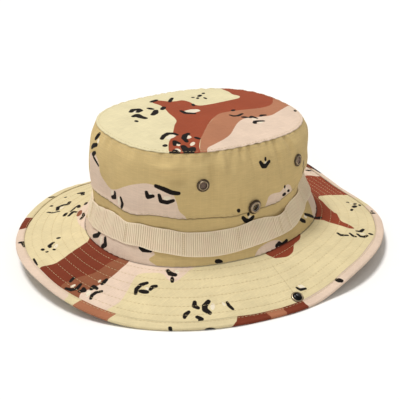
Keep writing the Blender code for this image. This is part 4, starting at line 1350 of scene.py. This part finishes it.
def binding(way, word, material, thread):
    outside, inside = tape_section()
    count = 900
    angle = half_turn(way, count)[None, :]
    rows = len(outside)
    angle = np.broadcast_to(angle, (rows, count))
    from_edge = np.minimum(np.arange(rows), np.arange(rows)[::-1])[:, None]
    stitched = bump(from_edge - 2.0, 1.2)
    row_number = np.arange(rows)[:, None]
    pucker = ripple(angle, 0.2 * row_number, 100, 170, 61)
    swell = 0.10 * ripple(angle, 0.1 * row_number, 25, 60, 62)
    puff = np.maximum(MM * (swell - stitched * (0.20 + 0.08 * pucker)), -0.40 * MM)
    wander = 0.35 * MM * ripple(angle, 0, 8, 30, 63) * (from_edge == 0)

    def lay(section, extra):
        reach = np.broadcast_to(section[:, :1], angle.shape) + wander
        height = section[:, 1:]
        grow = 1 + extra / TAPE_HIGH
        surface = brim_surface(angle, np.minimum(reach, BRIM_WIDTH - TAPE_HIGH), height * grow)
        beyond = np.maximum(reach - (BRIM_WIDTH - TAPE_HIGH), 0)[..., None]
        out = unit(brim(angle, reach) - brim(angle, reach - MM))
        return on_table(surface + out * beyond)

    outer = lay(outside, puff)
    thing = shell(f"binding_{word}_tape", outer, lay(inside, 0 * puff), material)
    reach = (BRIM_WIDTH - BINDING_WIDTH + path_length(outside)) / MM
    reach = np.broadcast_to(reach[:, None], angle.shape)
    places = (np.tile(np.degrees(angle).ravel() % 360, 2), np.tile(reach.ravel(), 2))
    # painted shade along the tape's edges and stitch rows
    painted_shade = np.tile(np.broadcast_to(0.45 * bump(from_edge, 0.8) + 0.18 * stitched, angle.shape).ravel(), 2)
    print_pattern(thing, places, brim_chart, TAPE_PATCHES, TAPE_CHIPS, painted_shade=painted_shade)
    nodes = (f"binding_{word}", "binding_front", "binding_rear")
    fold_with(replace(thing, "binding_tape", *nodes), way)
    runs = []
    for row, sign in ((2, 1), (rows - 3, -1)):
        up = brim_normal(angle[row], np.full(count, BRIM_WIDTH - BINDING_WIDTH + MM)) * sign
        runs.append(stitch_points(outer[row], up))
    fold_with(thread_piece(f"binding_{word}_stitches", runs, thread), way)


def quilting(way, word, thread):
    """Rows of stitches round the brim, above and below, and the upper cloth's seam at the side."""
    angle = half_turn(way, 700)
    runs = []
    for row in range(QUILT_ROWS):
        reach = quilt_reach(row, angle)
        for sign in (1, -1):
            height = sign * (PLY_HIGH - quilt_dip(angle, reach))
            runs.append(stitch_points(brim_surface(angle, reach, height), brim_normal(angle, reach) * sign))
    reach = np.linspace(SIDE_SEAM_FROM, BRIM_WIDTH - BINDING_WIDTH - 0.001, 120)
    angle = np.full(reach.shape, math.radians(90 * way - SIDE_SEAM_TURN))
    height = PLY_HIGH - quilt_dip(angle, reach)
    runs.append(stitch_points(brim_surface(angle, reach, height), brim_normal(angle, reach), *SEAM_STITCH))
    fold_with(thread_piece(f"brim_{word}_quilting", runs, thread), way)


# ---- vents and snaps ---------------------------------------------------------

# Sections of turned parts, as (radius, height) in mm. Height is measured outwards from the cloth's middle.
EYELET = (
    (2.8, -2.3), (2.8, 1.2), (3.0, 1.9), (3.4, 2.1), (3.8, 1.9), (4.1, 1.35), (4.5, 1.3), (4.8, 1.6),
    (5.2, 1.3), (5.3, 0.7), (5.0, 0.4), (3.1, 0.5), (3.0, -1.7), (3.9, -1.75), (3.9, -2.2),
)
WASHER = ((3.3, -0.9), (5.2, -0.9), (5.2, -1.25), (4.4, -1.4), (3.3, -1.4))
SOCKET = (
    (1.4, 0.7), (1.4, 1.5), (2.9, 1.5), (3.1, 2.2), (3.3, 2.85), (3.9, 3.0), (4.6, 2.8), (5.1, 2.3),
    (5.5, 1.9), (6.0, 1.5), (6.1, 0.9), (5.8, 0.55), (3.0, 0.6),
)
SPRING = ((2.5, 2.0), (2.8, 1.85), (2.95, 2.1), (2.75, 2.4), (2.5, 2.3))
SOCKET_CAP = (
    (0, -2.1), (3.2, -2.0), (4.6, -1.75), (5.3, -1.3), (5.3, -0.8), (0.8, -0.8), (0.8, 0.75), (0, 0.8),
)
STUD = (
    (0, 4.4), (1.0, 4.35), (1.75, 4.05), (1.95, 3.6), (1.75, 3.1), (2.2, 2.75), (3.0, 2.5), (3.6, 2.0),
    (3.75, 1.4), (3.7, 0.80), (1.2, 0.80), (1.2, 2.2), (0, 2.2),
)
STUD_SKIRT = ((3.8, 0.8), (3.8, 1.7), (4.1, 2.0), (4.7, 1.8), (5.15, 1.3), (5.15, 0.8))
STUD_CAP = (
    (0, 2.1), (0.8, 2.1), (0.8, -0.85), (4.6, -0.85), (4.6, -1.5), (3.9, -2.2), (2.0, -2.45), (0, -2.5),
)


def place_frame(point, normal):
    """Matrix of a fitting whose Z is the cloth's outward normal."""
    normal = Vector(normal).normalized()
    across = Vector((0, 0, 1)).cross(normal).normalized()
    matrix = Matrix((across, normal.cross(across), normal)).transposed().to_4x4()
    matrix.translation = Vector(point)
    return matrix


def side_frame(way, x, share):
    angle = np.array(angle_at(way, x, share))
    return place_frame(side(angle, np.array(share)), side_normal(angle, np.array(share)))


def stud_frame(way):
    angle = np.array(way * (math.pi / 2 - math.asin(SNAP_X / (BASE_HALF[1] + STUD_REACH))))
    reach = np.array(STUD_REACH + (0.7 * MM if way < 0 else 0))
    return place_frame(brim_surface(angle, reach, np.array(0.0)), brim_normal(angle, reach))


def turned(name, profile, matrix, material, closed=False, segments=72, round_off=4):
    """Revolve eased (radius, height) corners in mm about Z. Each point keeps how near the rim it is."""
    corners = np.array(profile, float) * MM
    eased = [corners[0]] if not closed else []
    order = range(len(corners)) if closed else range(1, len(corners) - 1)
    for k in order:
        before, here, after = corners[k - 1], corners[k], corners[(k + 1) % len(corners)]
        start, end = here + 0.3 * (before - here), here + 0.3 * (after - here)
        for t in np.linspace(0, 1, round_off):
            eased.append((1 - t) ** 2 * start + 2 * t * (1 - t) * here + t ** 2 * end)
    if not closed:
        eased.append(corners[-1])
    eased = np.array(eased)
    turn = np.linspace(0, TURN, segments, endpoint=False)
    on_axis = eased[:, 0] < 1e-9
    rows, points = [], []
    for (radius, height), central in zip(eased, on_axis):
        ring = [(0, 0, height)] if central else np.stack(
            [radius * np.cos(turn), radius * np.sin(turn), np.full(segments, height)], -1).tolist()
        rows.append(np.arange(len(ring)) + len(points))
        points += ring
    faces = []
    pairs = list(zip(rows, rows[1:])) + ([(rows[-1], rows[0])] if closed else [])
    for one, two in pairs:
        if len(one) == 1:
            faces += [(int(one[0]), int(two[(k + 1) % segments]), int(two[k])) for k in range(segments)]
        elif len(two) == 1:
            faces += [(int(one[k]), int(one[(k + 1) % segments]), int(two[0])) for k in range(segments)]
        else:
            faces += strip(one, two, True).tolist()
    points = np.array(points, float)
    local_top = eased[:, 1].max()
    rim = 1 - np.clip((local_top - points[:, 2]) / MM, 0, 1)
    world = points @ np.array(matrix.to_3x3()).T + np.array(matrix.translation)
    thing = make_object(name, world, faces, material, sharp=60)
    if signed_volume(world, faces) < 0:
        thing.data.flip_normals()
    store(thing, "rim", rim)
    return thing


def wire_screen(name, matrix, radius, level, material):
    """Woven wire: round wires that pass over and under each other, held in the eyelet's bore."""
    pitch, wire = 0.50 * MM, 0.13 * MM
    steps = 24
    corner = np.linspace(0, TURN, 6, endpoint=False)
    points, faces = [], []
    for across in (0, 1):
        for k in range(-4, 5):
            aside = k * pitch
            half = math.sqrt(max(radius ** 2 - aside ** 2, 0)) - wire
            if half < pitch:
                continue
            t = np.linspace(-half, half, steps)
            lift = level + 0.9 * wire * np.cos(math.pi * (t / pitch + k + across))
            order = [1, 0, 2] if across else [0, 1, 2]
            line = np.stack([t, np.full(steps, aside), lift], -1)[:, order]
            ring = wire * np.stack([0 * corner, np.cos(corner), np.sin(corner)], -1)[:, order]
            number = np.arange(steps * len(corner)).reshape(steps, -1) + len(points)
            points += (line[:, None] + ring).reshape(-1, 3).tolist()
            for row in range(steps - 1):
                faces += strip(number[row], number[row + 1], True).tolist()
            faces += [tuple(map(int, number[0][::-1])), tuple(map(int, number[-1]))]
    points = np.array(points)
    world = points @ np.array(matrix.to_3x3()).T + np.array(matrix.translation)
    thing = make_object(name, world, faces, material, sharp=80)
    store(thing, "rim", np.full(len(points), 0.3))
    return thing


SCREEN_RADIUS = 2.75 * MM
SCREEN_HEIGHT = 1.15 * MM


def fit(name, profile, matrix, material, slot, node, body="crown", closed=True):
    """Turn a metal part to take the place of a CAD node, on that node's body."""
    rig.ride(replace(turned(name, profile, matrix, material, closed), slot, node), body)


def vents(materials):
    for word, way in SIDES:
        for place, x in (("front", -VENT_X), ("rear", VENT_X)):
            matrix = side_frame(way, x, VENT_HEIGHT)
            node = f"vent_{word}_{place}"
            brass = (matrix, materials["brass"], "antique_brass")
            fit(f"{node}_ring", EYELET, *brass, f"{node}_eyelet")
            fit(f"{node}_back_washer", WASHER, *brass, f"{node}_washer")
            screen = wire_screen(f"{node}_gauze", matrix, SCREEN_RADIUS, SCREEN_HEIGHT, materials["screen"])
            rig.ride(replace(screen, "wire_screen", f"{node}_screen"), "crown")


def snaps(materials):
    brass, dark, steel = (materials[key] for key in ("brass", "dark", "steel"))
    for word, way in SIDES:
        matrix = side_frame(way, SNAP_X, SNAP_HEIGHT)
        node = f"crown_snap_{word}"
        fit(f"{node}_bowl", SOCKET, matrix, brass, "antique_brass", f"{node}_socket")
        fit(f"{node}_ring_spring", SPRING, matrix, steel, "spring_steel", f"{node}_spring")
        fit(f"{node}_back_cap", SOCKET_CAP, matrix, dark, "antique_brass", f"{node}_cap", closed=False)
        matrix = stud_frame(way)
        node = f"brim_snap_{word}"
        flap = f"{word}_flap"
        fit(f"{node}_dome_stud", STUD, matrix, dark, "gunmetal", f"{node}_stud", flap, closed=False)
        fit(f"{node}_stud_skirt", STUD_SKIRT, matrix, brass, "gunmetal", f"{node}_stud", flap)
        fit(f"{node}_back_cap", STUD_CAP, matrix, dark, "gunmetal", f"{node}_cap", flap, closed=False)


# ---- the studio --------------------------------------------------------------

AIM = Vector((-0.0031, -0.0037, 0.0412))
CAMERA_AZIMUTH = -36.0
CAMERA_ELEVATION = 26.3
CAMERA_DISTANCE = 1.108
CAMERA_LENS = 117.5


def camera():
    a, e = math.radians(CAMERA_AZIMUTH), math.radians(CAMERA_ELEVATION)
    back = Vector((math.sin(a) * math.cos(e), -math.cos(a) * math.cos(e), math.sin(e)))
    thing = bpy.data.objects.new("camera", bpy.data.cameras.new("camera"))
    thing.data.lens = CAMERA_LENS
    thing.location = AIM + back * CAMERA_DISTANCE
    thing.rotation_euler = back.to_track_quat("Z", "Y").to_euler()
    bpy.context.collection.objects.link(thing)
    bpy.context.scene.camera = thing


def lamp(name, kind, toward, energy, colour, place=(0, 0, 2), **settings):
    light = bpy.data.lights.new(name, kind)
    light.energy = energy
    light.color = colour
    for key, value in settings.items():
        setattr(light, key, value)
    thing = bpy.data.objects.new(name, light)
    thing.location = Vector(place)
    thing.rotation_euler = (-Vector(toward)).to_track_quat("Z", "Y").to_euler()
    bpy.context.collection.objects.link(thing)


def studio():
    material = bpy.data.materials.new("white floor")
    material.use_nodes = True
    shader = material.node_tree.nodes["Principled BSDF"]
    shader.inputs["Base Color"].default_value = (0.93, 0.93, 0.93, 1)
    shader.inputs["Roughness"].default_value = 0.9
    reach = 12.0
    mesh = bpy.data.meshes.new("floor")
    corners = [(-reach, -reach, 0), (reach, -reach, 0), (reach, reach, 0), (-reach, reach, 0)]
    mesh.from_pydata(corners, [], [(0, 1, 2, 3)])
    mesh.materials.append(material)
    floor = bpy.data.objects.new("floor", mesh)
    bpy.context.collection.objects.link(floor)
    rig.stage(floor)
    world = bpy.data.worlds.new("studio")
    world.use_nodes = True
    world.node_tree.nodes["Background"].inputs["Color"].default_value = (1.0, 0.955, 0.88, 1)
    world.node_tree.nodes["Background"].inputs["Strength"].default_value = 0.45
    bpy.context.scene.world = world
    lamp("softbox overhead", "SUN", (0.17, -0.20, -1.0), 2.30, (1.0, 0.985, 0.965), angle=math.radians(17))
    lamp("fill", "AREA", (1.2, 1.3, -1.1), 3, (1.0, 0.99, 0.98), (-1.2, -1.3, 1.1), shape="DISK", size=1.2)
    bpy.context.scene.view_settings.view_transform = "Standard"


# Flat size of each cloth piece before sewing: width, length, what it is sewn to, and a shaped cut's area.
CUTS = {
    "top_panel": (0.131, 0.176, ("side_upper_cloth",), 0.0195),
    "side_upper_cloth": (0.053, 0.540, ("side_lower_cloth",), None),
    "side_lower_cloth": (0.040, 0.575, ("brim_left_upper_cloth", "brim_right_upper_cloth"), None),
    "webbing_band": (0.019, 0.585, ("side_lower_cloth",), None),
    "sweatband_cloth": (0.030, 0.580, ("side_lower_cloth",), None),
}
HALF_BRIM_CUT = (0.145, 0.320, 0.0230)
HALF_TAPE_CUT = (0.018, 0.450)


def declare_sheets():
    """Say which pieces are cloth, sewn in place and held taut by their seams."""
    for name, (width, length, under, area) in CUTS.items():
        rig.sheet(bpy.data.objects[name], flat=(width, length), held="stretched",
                 rests_on=list(under), area=area)
    for word, _ in SIDES:
        for ply in ("upper_cloth", "interlining", "under_cloth"):
            width, length, area = HALF_BRIM_CUT
            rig.sheet(bpy.data.objects[f"brim_{word}_{ply}"], flat=(width, length), held="stretched",
                     rests_on=["side_lower_cloth"], area=area)
        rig.sheet(bpy.data.objects[f"binding_{word}_tape"], flat=HALF_TAPE_CUT, held="folded",
                 rests_on=[f"brim_{word}_upper_cloth", f"brim_{word}_under_cloth"])


def main():
    materials = {
        # the top's cloth has painted light and sheen in its colours
        "top": printed_cloth(
            "printed cotton of the top in painted light", LIT_TOP_CREAM, light=(LIT_TOP_LIGHT_BROWN,) * 2, dark=(LIT_TOP_DARK_BROWN,) * 2),
        "camouflage": printed_cloth(
            "printed cotton", light=(FRONT_LIGHT_BROWN, LIGHT_BROWN), dark=(DARK_BROWN, REAR_DARK_BROWN)),
        # the side's cloth has painted shade in its ground colour
        "side": printed_cloth("printed cotton of the side in painted shade", SHADED_SIDE_CREAM),
        "tape": printed_cloth("printed bias tape", shade=0.97, bias=True),
        "webbing": webbing_cloth(),
        "twill": plain_cloth("sweatband twill", (0.50, 0.40, 0.235)),
        "felt": felt_finish("interlining", (0.75, 0.73, 0.68)),
        "thread": thread_finish("sand thread", (0.70, 0.57, 0.33)),
        "brass": metal_finish("darkened brass", (0.075, 0.054, 0.036), (0.36, 0.285, 0.20), 0.42),
        "dark": metal_finish("blackened brass", (0.014, 0.014, 0.015), (0.085, 0.085, 0.09), 0.30, 0.8),
        "steel": metal_finish("spring steel", (0.18, 0.17, 0.17), (0.42, 0.40, 0.40), 0.34),
        "screen": metal_finish("wire gauze", (0.34, 0.25, 0.205), (0.62, 0.48, 0.41), 0.5),
    }
    crown_top(materials["top"], materials["thread"])
    crown_sides(materials["side"], materials["thread"])
    loop_band(materials["webbing"], materials["thread"])
    sweatband(materials["twill"], materials["thread"])
    for word, way in SIDES:
        brim_plies(way, word, materials)
        binding(way, word, materials["tape"], materials["thread"])
        quilting(way, word, materials["thread"])
    vents(materials)
    snaps(materials)
    declare_sheets()
    camera()
    studio()


main()
with open("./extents.json", "w") as size_file:
    json.dump({"cad": [list(corner) for corner in CAD_BOX], "visual": [list(corner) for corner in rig.bounds()]}, size_file)
